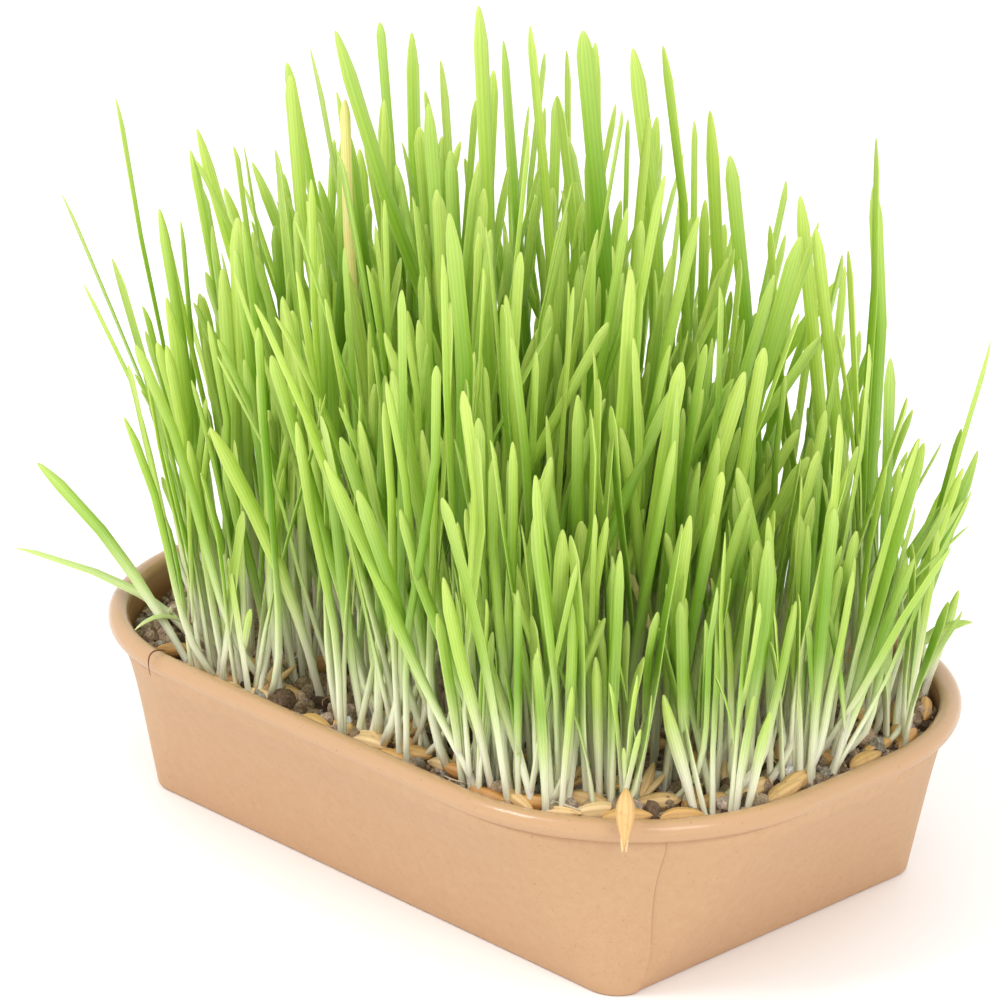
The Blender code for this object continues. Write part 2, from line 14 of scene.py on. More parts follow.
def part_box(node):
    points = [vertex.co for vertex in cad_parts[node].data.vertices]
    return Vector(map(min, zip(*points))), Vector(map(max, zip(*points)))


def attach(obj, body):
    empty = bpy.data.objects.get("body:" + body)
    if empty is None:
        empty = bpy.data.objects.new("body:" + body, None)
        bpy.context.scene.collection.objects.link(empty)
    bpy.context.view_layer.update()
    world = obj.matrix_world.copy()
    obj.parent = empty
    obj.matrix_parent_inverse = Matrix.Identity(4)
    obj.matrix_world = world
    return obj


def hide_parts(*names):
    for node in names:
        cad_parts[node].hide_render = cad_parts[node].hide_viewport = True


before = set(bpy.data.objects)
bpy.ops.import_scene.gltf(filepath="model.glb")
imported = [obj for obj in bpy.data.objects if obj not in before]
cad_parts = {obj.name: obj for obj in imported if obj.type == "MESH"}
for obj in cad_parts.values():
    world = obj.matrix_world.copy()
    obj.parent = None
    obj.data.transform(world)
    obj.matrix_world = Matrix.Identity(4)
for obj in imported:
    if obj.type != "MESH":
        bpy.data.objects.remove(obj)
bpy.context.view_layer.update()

MM = 0.001
RIM_LOW, RIM_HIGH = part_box("tray_sleeve")

# Tray, over its rolled rim and at its foot
RIM_LENGTH = RIM_HIGH.x - RIM_LOW.x
RIM_WIDTH = RIM_HIGH.y - RIM_LOW.y
RIM_HEIGHT = 38.5 * MM
RIM_CORNER = 45.5 * MM
FOOT_LENGTH = 132 * MM
FOOT_WIDTH = 82 * MM
FOOT_CORNER = 6 * MM
BOARD = 0.75 * MM
CLEARANCE = 0.3 * MM
FLARE_TOP = 32 * MM
FLARE_TOP_INSET = 3.6 * MM
ROLL_RADIUS = 2.1 * MM
ROLL_START = 180
ROLL_END = -112
HEM_HEIGHT = 6 * MM
PANEL_TOP = 7.25 * MM

# Glued overlap of the wrapped sleeve
SEAM_ANGLE_FOOT = 352
SEAM_ANGLE_RIM = 323
SEAM_SWEEP = 2.8
SEAM_EDGE = 0.004
# Height from which a painted shadow line is drawn along the lap's edge
LAP_SHADOW_FROM = 11 * MM
SEAM_SHARE = (SEAM_ANGLE_RIM - 270) / 90
LAP_STEP = 0.5 * MM
LAP_BLEND = 0.6

# The rolled rim is pressed flat on the wall along the straight sides and stands free at the
# corners, at the front one over an open slot
PRESS_FROM = 18 * MM
PRESS_MOST = 3 * MM
PRESS_AT_CORNERS = 0.1
PRESS_AT_FRONT = 0.3
SLOT_AT_FRONT = 0.7 * MM
SLOT_SPREAD = 1.4
CREASE_HEIGHTS = (29.3 * MM, 30.9 * MM)
CREASE_DEPTH = 0.12 * MM
CREASE_HALF_WIDTH = 0.35 * MM

# Fineness of the tray's surface
CORNER_STEPS = 30
STRAIGHT_STEPS = 8
WALL_STEPS = 34
WALL_SPACING = 0.7
ROLL_OUTER_STEPS = 26
ROLL_INNER_STEPS = 12
FOLD_STEPS = 4
# Share of the rim's length that marks the wall's inner rows, which get painted shade
SHADED_INSIDE_SHARE = 0.481
WALL_WAVE = 0.18 * MM
WALL_WAVE_LENGTH = 34 * MM

# Relief of the growing medium, in millimetres: length of its coarse lumps, crumbs and grains, and
# how high each stands, with how far from a crumb's middle its slope passes the bed's level
COARSE = (7, 1.2)
CRUMBLY = (4.2, 2.2, 0.45)
FINE = (1.5, 0.5)

# Growing medium
BED_LEVEL = 33 * MM
BED_RISE_LENGTHWISE = 2.6 * MM
BED_RISE_TO_FRONT = 1.0 * MM
BED_COLUMNS = 130
BED_ROWS = 90
POCKET_INSET = 5.5 * MM
GRIT_COUNT = 820
GRIT_SIZES = (2, 5.2)
CRUMB_COUNT = 2400
CRUMB_SIZES = (0.7, 1.9)
GRIT_SEED = 11
GRIT_SHAPES = 9
LUMP_FLATNESS = math.radians(7)
LUMP_ROUGHNESS = (0.74, 1.1)
LUMP_PLANES = 4
LUMP_CUTS = (0.26, 0.42)
GRIT_SQUASH = [(0.8, 1.2), (0.7, 1), (0.5, 0.9)]
GRIT_FOLLOWS = 0.7
GRIT_LIFT = (0.0, 0.3)
BORDER_REACH = 17 * MM
BORDER_SHARE = 0.75
BIT_LIFT = 1.6 * MM

# Bits of their own, in millimetres: place along and across, size, and kind from 0 dark to 1 white
NAMED_BITS = [
    (-17, -47.5, 6.2, 0.2),
    (0.8, -47.2, 4.2, 0.98),
    (-4, -47.5, 3.4, 0.9),
    (61, -25, 4.4, 0.98),
    (66, -17, 4.6, 0.8),
    (72, 2, 4.8, 0.9),
    (72.5, 10.5, 4.6, 0.98),
    (73, 17, 4.4, 0.7),
    (44, -43.5, 4.4, 0.6),
    (52, -37, 4, 0.75),
]

# Grain: hulled barley or wheat
GRAIN_LENGTH = 9.5 * MM
GRAIN_WIDTH = 3.7 * MM
GRAIN_FLATNESS = 0.85
GRAIN_RIBS = 8
GRAIN_RELIEF = 0.07
GRAIN_FURROW = 0.22
GRAIN_RINGS = 14
GRAIN_LIFT = 0.4 * MM
GRAIN_TILT = 0.2
GRAIN_CHANCE = 0.35
GRAINS_ON_MAT = 24
GRAINS_ON_SOIL = 12
GRAINS_IN_ALL = 74
GRAIN_SEED = 21
SPROUTED_TILT = 0.1
LOOSE_SHARE = 0.4
LOOSE_GAP = 1.1 * GRAIN_WIDTH
LOOSE_TILT = 0.6
GRAIN_RISE = (0.2, 1.2)
GRAIN_SIZES = (0.85, 1.05)

# Split husks: place in millimetres and the way their open ends point
HUSKS = [
    (50.5, -40.5, 1.3), (56, -37, 0.9), (36, -45, 1.9), (66, -20, 2.2), (62.5, -31, 1.8),
    (12, -46, 1.2), (71, -4, 2.6), (-24, -45.5, 1.7), (28, -40, 0.4), (66, 24, 2.9),
]
HUSK_SPREAD = 0.26
HUSK_TILT = 0.5
HUSK_LIFT = 0.8 * MM
HUSK_START = 0.4
HUSK_SHAPE = (0.95, 0.62, 0.4)
HUSK_TINTS = (0.3, 1)
BORDER_LINE = 3.3 * MM
BORDER_SPREAD = 0.1 * MM

# The grain that hangs over the rim: path out past the rim's edge and up, in millimetres
HANGING_ANGLE = 313.5
HANGING_PATH = [(-7.4, 34.3), (-0.8, 54), (4.6, 36.5)]
HANGING_SECTIONS = [
    (0, 1.4), (0.4, 0.9), (0.54, 1.2), (0.64, 2.2), (0.74, 3.1),
    (0.82, 3.3), (0.9, 2.4), (0.96, 1.3), (1, 0.5),
]
HANGING_FLATNESS = 0.75
HANGING_SPLIT = 0.16
HANGING_PRONGS = (-0.3, 0.4)
PRONG_SECTIONS = [(0, 1.3), (0.5, 0.9), (1, 0.25)]
PRONG_BOW = 0.4
HANGING_TINT = 0.6
PRONG_TINT = 0.9
STRAND_STEPS = 24
STRAND_RELIEF = 0.06

# Root hairs: the ones over the rim by their three points in millimetres, and the rest at random
RIM_HAIRS = [[(-43.5, -54, 39), (-43.8, -59, 41), (-43.2, -57.8, 35)]]
HAIR_SECTIONS = [(0, 0.38), (0.7, 0.28), (1, 0.12)]
HAIRS = 34
HAIR_GAP = 3 * MM
HAIR_LIFT = (1, 3)
HAIR_REACH = (4, 9)
HAIR_BEND = 0.6
HAIR_ARCH = 3
HAIR_SEED = 51

# Grass, as in the solid: the same rule and seed give the same blades
BLADE_COUNT = 285
BLADE_SEED = 3
BLADE_GAP = 3.3 * MM
BLADE_CLEAR = 2.3 * MM
SAMPLES = 60
ROOT_DEPTH = 4 * MM
ROOT_INSET = 2.1 * MM
REACH_ALONG = 98 * MM
REACH_ACROSS = 68 * MM
REACH_MARGIN = 2 * MM
TRIES = 60
MIDDLE_RISE = 0.55
MIDDLE_LEAN = (0.25, 0.6)
BLADE_TWIST = 0.6
SPREAD_ALONG = 680 * MM
SPREAD_ACROSS = 560 * MM
DRIFT = 0.07
DRIFT_WAVES = (23 * MM, 31 * MM, 19 * MM, 37 * MM)
SWAY = 0.075
SWAY_GROWTH = 0.0015
HEIGHT_LEAST = 0.45
HEIGHT_VARIES = 0.48
WIDTH_USUAL = 3.1 * MM
WIDTH_VARIES = 0.6 * MM
WIDTH_LEAST = 2.2 * MM
WIDTH_MOST = 4.6 * MM
SWARD_HEIGHTS = [
    (-85, 80), (-70, 100), (-50, 96), (-46, 104), (-35, 118), (0, 124), (30, 116), (36, 90),
    (43, 84), (48, 98), (55, 92), (65, 74), (74, 56), (86, 46), (100, 40),
]
BARE_END = -63 * MM
TIPS_FROM = -75 * MM
FRONT_CORNER = (76 * MM, -46 * MM)
FRONT_SHARE = 0.36
FRONT_DISTANCE = 85 * MM
ARCH_LEAST = 18 * MM
ARCH_LEAN = 0.12

# Named blades, in millimetres: root along and across the bed, tip to the right and up in the
# view, how far the tip leans away from the viewer, and the blade's width
NAMED_BLADES = [
    (-12, 4, -4.2, 95.0, 4, 4.6),
    (-14, 12, -31.7, 90.2, 0, 4.2),
    (-66, -28, -73.9, 77.2, 6, 4.0),
    (-58, -33, -74.5, 46.4, 2, 3.2),
    (-66, -6, -59.5, 67.2, 6, 3.0),
    (-60, -10, -51.4, 68.1, 4, 3.2),
    (-56, -2, -49.3, 68.1, 8, 3.0),
    (-50, 4, -42.6, 61.8, 4, 3.4),
    (-44, -6, -40.3, 81.6, 4, 3.4),
    (-40, 2, -36.5, 86.8, 6, 4.2),
    (-22, 10, -11.5, 84.5, 4, 4.0),
    (-8, 14, 0.6, 88.3, 2, 3.4),
    (-2, 18, 5.8, 91.2, 4, 3.2),
    (6, 12, 10.9, 77.7, 2, 3.6),
    (8, 22, 15.9, 90.2, 4, 4.4),
    (14, 28, 25.5, 86.8, 2, 4.0),
    (20, 30, 31.3, 87.3, 4, 3.4),
    (24, 34, 40.3, 74.9, 2, 4.0),
    (34, 34, 44.1, 66.2, 2, 3.4),
    (44, 34, 51.8, 52.8, 2, 3.0),
    (48, 38, 57.6, 58.5, 2, 3.2),
    (56, 34, 60.7, 52.2, 0, 3.0),
    (60, 28, 72.2, 69.7, 6, 3.6),
    (60, 34, 71.8, 60.5, 4, 3.2),
    (64, 26, 66.8, 48.0, 0, 2.8),
    (66, 28, 74.9, 27.3, 0, 3.4),
    (60, 36, 91.7, 9.6, 0, 3.8),
    (62, 31, 94.1, 30.7, 2, 3.2),
]

# Blades that reach out past the rim: root along and across, tip along, across and height, width
REACHING_BLADES = [
    (-47, -40, -98, -47, 42, 2.4),
    (-44, -45, -91, -46, 62, 3.0),
    (58, 40, 70.7, 48.4, 50, 2.6),
    (70, 2, 98, 10, 84, 2.8),
    (20, -38, 28, -68, 96, 3.2),
    (-20, 38, -26, 68, 116, 3.4),
]

# Finer growth that the solid leaves out
MORE_BLADES = 330
MORE_GAP = 2.1 * MM
MORE_CLEAR = 1.3 * MM
MORE_TRIES = 20
MORE_SWAY = 1.7
MORE_HEIGHT = 0.9
MORE_END_LOSS = 0.3
MORE_END = (46 * MM, 76 * MM)
MORE_BEND = 0.35
MORE_WIDTHS = (0.6, 0.95)
WAVER = 2.2 * MM
WAVER_FULL_FROM = 75 * MM
WAVER_TURNS = 0.9
CLUMP_BAND = 13 * MM
CLUMP_LENGTH = 8 * MM
CLUMPS = 0.02
SPARSE_FROM = 26 * MM
SPARSE_CLUMPS = 0.2
BARE_CHANCE = 0.6
TUFT_STEMS = 150
TUFT_BLADES = (3, 6)
TUFT_SPREAD = 2 * MM
TUFT_BAND = (2.8 * MM, 10 * MM)
TUFT_SEED = 34
TUFT_SHARE = 0.45
TUFT_HEIGHTS = (0.3, 0.75)
TUFT_LEAN = 16 * MM
TUFT_SWAY = 0.1
TUFT_WIDTHS = (1.9, 3.2)
SECOND_LEAVES = 0.28
SECOND_FROM = (0.2, 0.4)
SECOND_HEIGHTS = (0.45, 0.85)
SECOND_LEAN = (0.1, 0.3)
SECOND_WIDTHS = (0.55, 0.8)
SECOND_STEM = 0.5 * MM
SPROUTS = 36
SPROUT_SEED = 43
SPROUT_FOOT = (2.5 * MM, 6 * MM)
SPROUT_STEMS = (1.4 * MM, 2 * MM)
SPROUT_TURN = 0.5
SPROUT_HEIGHTS = (0.4, 0.8)
SPROUT_SWAY = 0.12
SPROUT_WIDTHS = (2, 2.8)

# How growth leans out at both ends of the view: from where, to where, share of its height there
LEANS = [(16 * MM, 86 * MM, 0.2), (-40 * MM, -66 * MM, -0.24)]

# The small leaf that curls over the rim at the left end: its path in millimetres, and its turn
CURLED_PATH = [(-50, -38, 33.5), (-53.8, -43.8, 44), (-54.8, -52, 39)]
CURLED_WIDTH = 2.2 * MM
CURLED_FACING = 2.2
CURLED_TWIST = 0.5

# Blades of another colour, in millimetres: root along and across the bed, tip to the right and up
# in the view, width, and the mark of their colour
YELLOWED = -1
GREY_GREEN = 2
MARKED_BLADES = [
    (-36, -9, -29.8, 77, 2.6, YELLOWED),
    (-15, -4, -12.1, 57.6, 2.6, GREY_GREEN),
    (52, -6, 19, 2, 2.6, YELLOWED),
]

# Form of a finished blade: a round stalk that opens into a channelled leaf with a blunt tip
BLADE_AROUND = 6
BODY_SHARES = (0, 0.06, 0.14, 0.26, 0.4, 0.57, 0.78)
TIP_SHARES = (1, 0.5, 0.2, 0.05, 0)
TIP_IN_WIDTHS = (1, 2.8)
TIP_BLUNTNESS = 0.5
TIP_MOST = 0.4
LEAF_OPENS = (0.16, 0.56)
LEAF_SLIMNESS = 0.9
LEAF_FOLDS = (0.16, 0.36)
LEAF_THICKNESS = 0.36 * MM
STEM_LEAST = 0.8 * MM
STEM_SHARE = 0.22
STEM_FLATNESS = 0.8
FLATTENING = 1.6
FOOT_BEND = 0.2
GREEN_FROM = 26 * MM
GREEN_SHARE = 0.6

# The camera, from a fit of the tray's outline in the photograph
VIEW_TURN = math.radians(46.5)
VIEW_TILT = math.radians(21.5)
VIEW_DISTANCE = 960 * MM
VIEW_SHIFT_RIGHT = -5 * MM
VIEW_SHIFT_UP = 27.1 * MM
VIEW_ROUNDS = 8
LENS = 180
SENSOR = 36

# The floor and the lights, in metres and watts: name, place, size and power, aimed at one height
FLOOR_SIZE = 4
FLOOR_WHITE = 0.97
ROOM_LIGHT = 1.12
LIT_HEIGHT = 0.06
LIGHTS = [
    ("key light", (-0.4, -1.0, 1.3), 0.5, 8),
    ("side light", (1.1, -0.4, 0.9), 0.6, 4.5),
]


def linear(code):
    """An sRGB hex colour as linear values with full cover."""
    values = []
    for start in (0, 2, 4):
        share = int(code[start:start + 2], 16) / 255
        values.append(share / 12.92 if share <= 0.04045 else ((share + 0.055) / 1.055) ** 2.4)
    return (*values, 1)


def add(tree, kind, inputs=None, stops=None, **settings):
    """A node with its settings, its input values or links, and a ramp's stops."""
    node = tree.nodes.new("ShaderNode" + kind)
    for name, value in settings.items():
        setattr(node, name, value)
    for socket, value in (inputs or {}).items():
        if isinstance(value, bpy.types.NodeSocket):
            tree.links.new(value, node.inputs[socket])
        else:
            node.inputs[socket].default_value = value
    if stops:
        elements = node.color_ramp.elements
        while len(elements) < len(stops):
            elements.new(1)
        for element, (place, code) in zip(elements, stops):
            element.position = place
            element.color = linear(code)
    return node


def ramp(tree, share, stops):
    """The colour that a ramp of stops gives for a share."""
    return add(tree, "ValToRGB", {"Fac": share}, stops).outputs["Color"]


def mixed(tree, share, base, top):
    """One colour laid over another by a share."""
    return add(tree, "Mix", {0: share, 6: base, 7: top}, data_type="RGBA").outputs[2]


def scaled(tree, colour, share):
    """A colour made darker or lighter by a share."""
    return add(tree, "VectorMath", {0: colour, "Scale": share}, operation="SCALE").outputs["Vector"]


def ranged(tree, value, low, high, to_low=0, to_high=1):
    """A value carried from one range to another and held inside it."""
    return add(tree, "MapRange", {
        "Value": value, "From Min": low, "From Max": high, "To Min": to_low, "To Max": to_high,
    }).outputs["Result"]


def place_on(tree):
    """Where a point lies on its object."""
    return add(tree, "TexCoord").outputs["Object"]


def mottled(tree, size, detail, **settings):
    """Noise with patches of about this size."""
    inputs = {"Vector": place_on(tree), "Scale": 1 / size, "Detail": detail, **settings}
    return add(tree, "TexNoise", inputs).outputs["Fac"]


def tints(tree, name="tint"):
    """The parts of a colour attribute: red, green and blue."""
    kept = add(tree, "Attribute", attribute_name=name)
    return add(tree, "SeparateColor", {"Color": kept.outputs["Color"]}).outputs


def bumped(tree, height, strength, distance, **under):
    """A bump in the surface, over another one if that is given."""
    return add(tree, "Bump", {
        "Height": height, "Strength": strength, "Distance": distance, **under,
    }).outputs["Normal"]


def dress(tree, shader, colour, normal):
    """Link a colour and a bump to a shader."""
    tree.links.new(colour, shader.inputs["Base Color"])
    tree.links.new(normal, shader.inputs["Normal"])


def new_material(name, roughness, **sockets):
    """A Principled material, its node tree and its shader."""
    made = bpy.data.materials.new(name)
    made.use_nodes = True
    shader = made.node_tree.nodes["Principled BSDF"]
    shader.inputs["Roughness"].default_value = roughness
    for socket, value in sockets.items():
        shader.inputs[socket.replace("_", " ")].default_value = value
    return made, made.node_tree, shader


def level(turn):
    """The level direction at a turn from +X."""
    return Vector((math.cos(turn), math.sin(turn), 0))


def eased(share):
    """A share held between 0 and 1 and made soft at both ends."""
    share = min(max(share, 0), 1)
    return share * share * (3 - 2 * share)


def curve_point(path, share):
    """A point along a curve that runs from its start through a bend to its end."""
    start, middle, end = path
    rest = 1 - share
    return start * rest * rest + middle * 2 * share * rest + end * share * share


def stored(name, bm):
    """A bmesh kept as a mesh."""
    mesh = bpy.data.meshes.new(name)
    bm.to_mesh(mesh)
    bm.free()
    return mesh


def added(bm, template):
    """Add a copy of a template to a bmesh and give the copy's vertices."""
    start = len(bm.verts)
    bm.from_mesh(template)
    bm.verts.ensure_lookup_table()
    return bm.verts[start:]


def tube(around, rings):
    """An upright closed tube of unit radius and length, with this many stretches along it."""
    bm = bmesh.new()
    bmesh.ops.create_cone(bm, cap_ends=True, segments=around, radius1=1, radius2=1, depth=1)
    upright = [edge for edge in bm.edges if abs(edge.verts[0].co.z - edge.verts[1].co.z) > 0.5]
    bmesh.ops.subdivide_edges(bm, edges=upright, cuts=rings - 1)
    return bm


def piece(name, bm, finish, replaces=(), smooth=True):
    """A finished piece from a bmesh: outward faces, riding on the root body, with its slot."""
    bm.normal_update()
    bmesh.ops.recalc_face_normals(bm, faces=bm.faces)
    mesh = stored(name, bm)
    if smooth:
        mesh.shade_smooth()
    mesh.materials.append(finish)
    made = bpy.data.objects.new(name, mesh)
    bpy.context.scene.collection.objects.link(made)
    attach(made, "root")
    if replaces:
        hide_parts(*replaces)
    return made


def wall_sizes(height, inset):
    """Half length, half width and corner radius of the wall, this far inside its outer face."""
    share = min(max(height / FLARE_TOP, 0), 1)
    foot = (FOOT_LENGTH / 2, FOOT_WIDTH / 2, FOOT_CORNER)
    top = (RIM_LENGTH / 2, RIM_WIDTH / 2, RIM_CORNER)
    sizes = []
    for low, high in zip(foot, top):
        sizes.append(low + (high - FLARE_TOP_INSET - low) * share - inset)
    return sizes


def rim_sizes(inset):
    """Half length, half width and corner radius this far inside the rim's outer edge."""
    return (RIM_LENGTH / 2 - inset, RIM_WIDTH / 2 - inset, RIM_CORNER - inset)


def stations():
    """Places round the outline: corner, share of its quarter turn, share of the straight after."""
    places = []
    for corner in range(4):
        shares = [step / CORNER_STEPS for step in range(CORNER_STEPS + 1)]
        if corner == 3:
            shares = sorted({*shares, SEAM_SHARE - SEAM_EDGE, SEAM_SHARE, SEAM_SHARE + SEAM_EDGE})
        places += [(corner, share, 0) for share in shares]
        places += [(corner, 1, step / STRAIGHT_STEPS) for step in range(1, STRAIGHT_STEPS)]
    return places


def station_point(station, sizes, seam):
    """The outline's point and outward direction at a station."""
    corner, share, along = station
    half_x, half_y, radius = sizes
    angle = 90 * (corner + share)
    if corner == 3 and share <= SEAM_SHARE:
        angle = 270 + (seam - 270) * share / SEAM_SHARE
    elif corner == 3:
        angle = seam + (360 - seam) * (share - SEAM_SHARE) / (1 - SEAM_SHARE)
    outward = level(math.radians(angle))
    signs = [(1, 1), (-1, 1), (-1, -1), (1, -1)]
    here = Vector((signs[corner][0] * (half_x - radius), signs[corner][1] * (half_y - radius), 0))
    after = signs[(corner + 1) % 4]
    there = Vector((after[0] * (half_x - radius), after[1] * (half_y - radius), 0))
    return here.lerp(there, along) + outward * radius, outward


def pressing(station):
    """How far the roll is pressed flat on the wall at a station, and the slot left under it."""
    corner, share, along = station
    if along:
        return 1, 0
    soft = eased(1 - abs(2 * share - 1))
    if corner == 3:
        return 1 + (PRESS_AT_FRONT - 1) * soft, SLOT_AT_FRONT * min(soft * SLOT_SPREAD, 1)
    return 1 + (PRESS_AT_CORNERS - 1) * soft, 0


def sleeve_section(press, slot):
    """The board's section from the foot's outer edge round to the hem: height, sizes, on the outside."""
    rows = []
    for step in range(FOLD_STEPS):
        turn = math.radians(90 * step / FOLD_STEPS)
        height = BOARD * (1 - math.sin(turn))
        rows.append((height, wall_sizes(height, BOARD * (1 - math.cos(turn))), True))
    rows.reverse()
    top_inset = FLARE_TOP_INSET - PRESS_MOST * press
    under_roll = math.sqrt(ROLL_RADIUS ** 2 - (ROLL_RADIUS - top_inset) ** 2)
    top = RIM_HEIGHT - ROLL_RADIUS - under_roll - slot
    for step in range(1, WALL_STEPS + 1):
        height = BOARD + (top - BOARD) * (step / WALL_STEPS) ** WALL_SPACING
        push = PRESS_MOST * press * (max(height - PRESS_FROM, 0) / (top - PRESS_FROM)) ** 2
        for crease in CREASE_HEIGHTS:
            push -= CREASE_DEPTH * max(1 - abs(height - crease) / CREASE_HALF_WIDTH, 0) * press
        rows.append((height, wall_sizes(height, -push), True))
    curls = [
        (ROLL_RADIUS - BOARD, ROLL_START, ROLL_END, ROLL_INNER_STEPS),
        (ROLL_RADIUS, ROLL_END, ROLL_START, ROLL_OUTER_STEPS),
    ]
    for radius, start, end, steps in curls:
        for step in range(steps + 1):
            turn = math.radians(start + (end - start) * step / steps)
            height = RIM_HEIGHT - ROLL_RADIUS + radius * math.sin(turn)
            rows.append((height, rim_sizes(ROLL_RADIUS - radius * math.cos(turn)), False))
    for step in range(WALL_STEPS):
        height = FLARE_TOP + (BOARD - FLARE_TOP) * step / WALL_STEPS
        rows.append((height, wall_sizes(height, BOARD), False))
    channel = BOARD + 2 * CLEARANCE + BOARD
    rows.append((BOARD, wall_sizes(BOARD, BOARD), False))
    rows.append((BOARD, wall_sizes(BOARD, channel), False))
    rows.append((HEM_HEIGHT, wall_sizes(HEM_HEIGHT, channel), False))
    rows.append((HEM_HEIGHT, wall_sizes(HEM_HEIGHT, channel + BOARD), False))
    rows.append((0, wall_sizes(0, channel + BOARD), False))
    return rows


def make_tray_wall(finish):
    """The wrapped sleeve with its lap, rolled rim and hem, rolled up from one grid."""
    places = stations()
    sections = [sleeve_section(*pressing(place)) for place in places]
    row_count = len(sections[0])
    bm = bmesh.new()
    bmesh.ops.create_grid(bm, x_segments=len(places), y_segments=row_count, size=0.5)
    tint = bm.verts.layers.float_color.new("tint")
    for vert in bm.verts:
        column = round((vert.co.x + 0.5) * len(places)) % len(places)
        place = places[column]
        height, sizes, outside = sections[column][round((vert.co.y + 0.5) * row_count) % row_count]
        share = min(height / FLARE_TOP, 1) if outside else 1
        seam = SEAM_ANGLE_RIM + (SEAM_ANGLE_FOOT - SEAM_ANGLE_RIM) * (1 - share) ** SEAM_SWEEP
        point, outward = station_point(place, sizes, seam)
        before_seam = SEAM_SHARE - place[1]
        if outside and place[0] == 3 and 0 <= before_seam < LAP_BLEND:
            point += outward * LAP_STEP * (1 - before_seam / LAP_BLEND)
        if outside or height > FLARE_TOP:
            wave = noise.noise(Vector((point.x, point.y, height)) / WALL_WAVE_LENGTH)
            point += outward * WALL_WAVE * wave * min(height / FLARE_TOP, 1)
        vert.co = (point.x, point.y, height)
        # The wall's inside below the roll is marked red for painted shade: a darker brown for the shade
        # within the tray
        shaded_inside = not outside and height < RIM_HEIGHT - ROLL_RADIUS and sizes[0] < SHADED_INSIDE_SHARE * RIM_LENGTH
        # A painted shadow line along the lap's edge, marked green in the tint, above a height
        lap_shadow_line = outside and place == (3, SEAM_SHARE, 0) and height > LAP_SHADOW_FROM
        vert[tint] = (shaded_inside, lap_shadow_line, 0, 1)
    bmesh.ops.remove_doubles(bm, verts=bm.verts, dist=0.01 * MM)
    return piece("tray_wall", bm, finish, ["tray_sleeve"])


def bed_height(x, y):
    """Level of the bed before its lumps: a little higher towards the front corner."""
    lengthwise = BED_RISE_LENGTHWISE * x / (RIM_LENGTH / 2)
    to_front = BED_RISE_TO_FRONT * y / (RIM_WIDTH / 2)
    return BED_LEVEL + lengthwise - to_front


def crumble(x, y):
    """Lumps of the soil's surface over its level: crumbs a few millimetres wide and grit on them."""
    place = Vector((x, y, 0)) / MM
    coarse = noise.noise(place / COARSE[0]) * COARSE[1]
    length, height, level_at = CRUMBLY
    nearest = noise.voronoi(place / length)[0][0]
    fine = noise.noise(place / FINE[0]) * FINE[1]
    return (coarse + (level_at - nearest) * height + fine) * MM


def rounded(a, b, sizes):
    """A place in a square from -1 to 1 carried to the rounded rectangle, ring by ring."""
    ring = max(abs(a), abs(b))
    if ring == 0:
        return 0, 0
    half_x, half_y, radius = sizes
    x = a / ring * half_x
    y = b / ring * half_y
    over = Vector((abs(x) - (half_x - radius), abs(y) - (half_y - radius)))
    if over.x > 0 and over.y > 0:
        over = over.normalized() * radius
        x = math.copysign(half_x - radius + over.x, x)
        y = math.copysign(half_y - radius + over.y, y)
    return x * ring, y * ring


def make_soil(finish):
    """The crumbly bed, with its sides down to the tray's base."""
    inset = BOARD + CLEARANCE
    top_sizes = wall_sizes(FLARE_TOP, inset)
    low_sizes = wall_sizes(PANEL_TOP, inset)
    bm = bmesh.new()
    bmesh.ops.create_grid(bm, x_segments=BED_COLUMNS, y_segments=BED_ROWS, size=1)
    places = {vert: (vert.co.x, vert.co.y) for vert in bm.verts}
    border = [edge for edge in bm.edges if edge.is_boundary]
    for vert, (a, b) in places.items():
        x, y = rounded(a, b, top_sizes)
        vert.co = (x, y, bed_height(x, y) + crumble(x, y))
    under = bmesh.ops.extrude_edge_only(bm, edges=border)["geom"]
    skirt = [item for item in under if isinstance(item, bmesh.types.BMVert)]
    for vert in skirt:
        vert.co.x *= low_sizes[0] / top_sizes[0]
        vert.co.y *= low_sizes[1] / top_sizes[1]
        vert.co.z = PANEL_TOP + CLEARANCE
    bmesh.ops.holes_fill(bm, edges=[edge for edge in bm.edges if edge.is_boundary])
    return piece("soil", bm, finish, ["growing_medium"])


def wall_gap(x, y):
    """How far a place lies inside the wall's outer face, where the wall flares most."""
    half_x, half_y, radius = wall_sizes(FLARE_TOP, 0)
    over_x = abs(x) - (half_x - radius)
    over_y = abs(y) - (half_y - radius)
    outside = math.hypot(max(over_x, 0), max(over_y, 0))
    return radius - outside - min(max(over_x, over_y), 0)


def lump_template(subdivisions, draw):
    """An angular crumb: a rough ball pushed in by flat planes at random."""
    bm = bmesh.new()
    bmesh.ops.create_icosphere(bm, subdivisions=subdivisions, radius=0.5)
    for vert in bm.verts:
        vert.co *= draw.uniform(*LUMP_ROUGHNESS)
    for _ in range(LUMP_PLANES):
        normal = Vector((draw.gauss(0, 1), draw.gauss(0, 1), draw.gauss(0, 1))).normalized()
        reach = draw.uniform(*LUMP_CUTS)
        for vert in bm.verts:
            over = vert.co.dot(normal) - reach
            if over > 0:
                vert.co -= normal * over
    bmesh.ops.dissolve_limit(bm, angle_limit=LUMP_FLATNESS, verts=bm.verts, edges=bm.edges)
    return stored("lump", bm)


def stamp(bm, template, matrix, layer, value):
    """Add a copy of a template to a bmesh, placed by a matrix, with one tint all over."""
    for vert in added(bm, template):
        vert.co = matrix @ vert.co
        vert[layer] = (value, vert[layer].y, 0, 1)


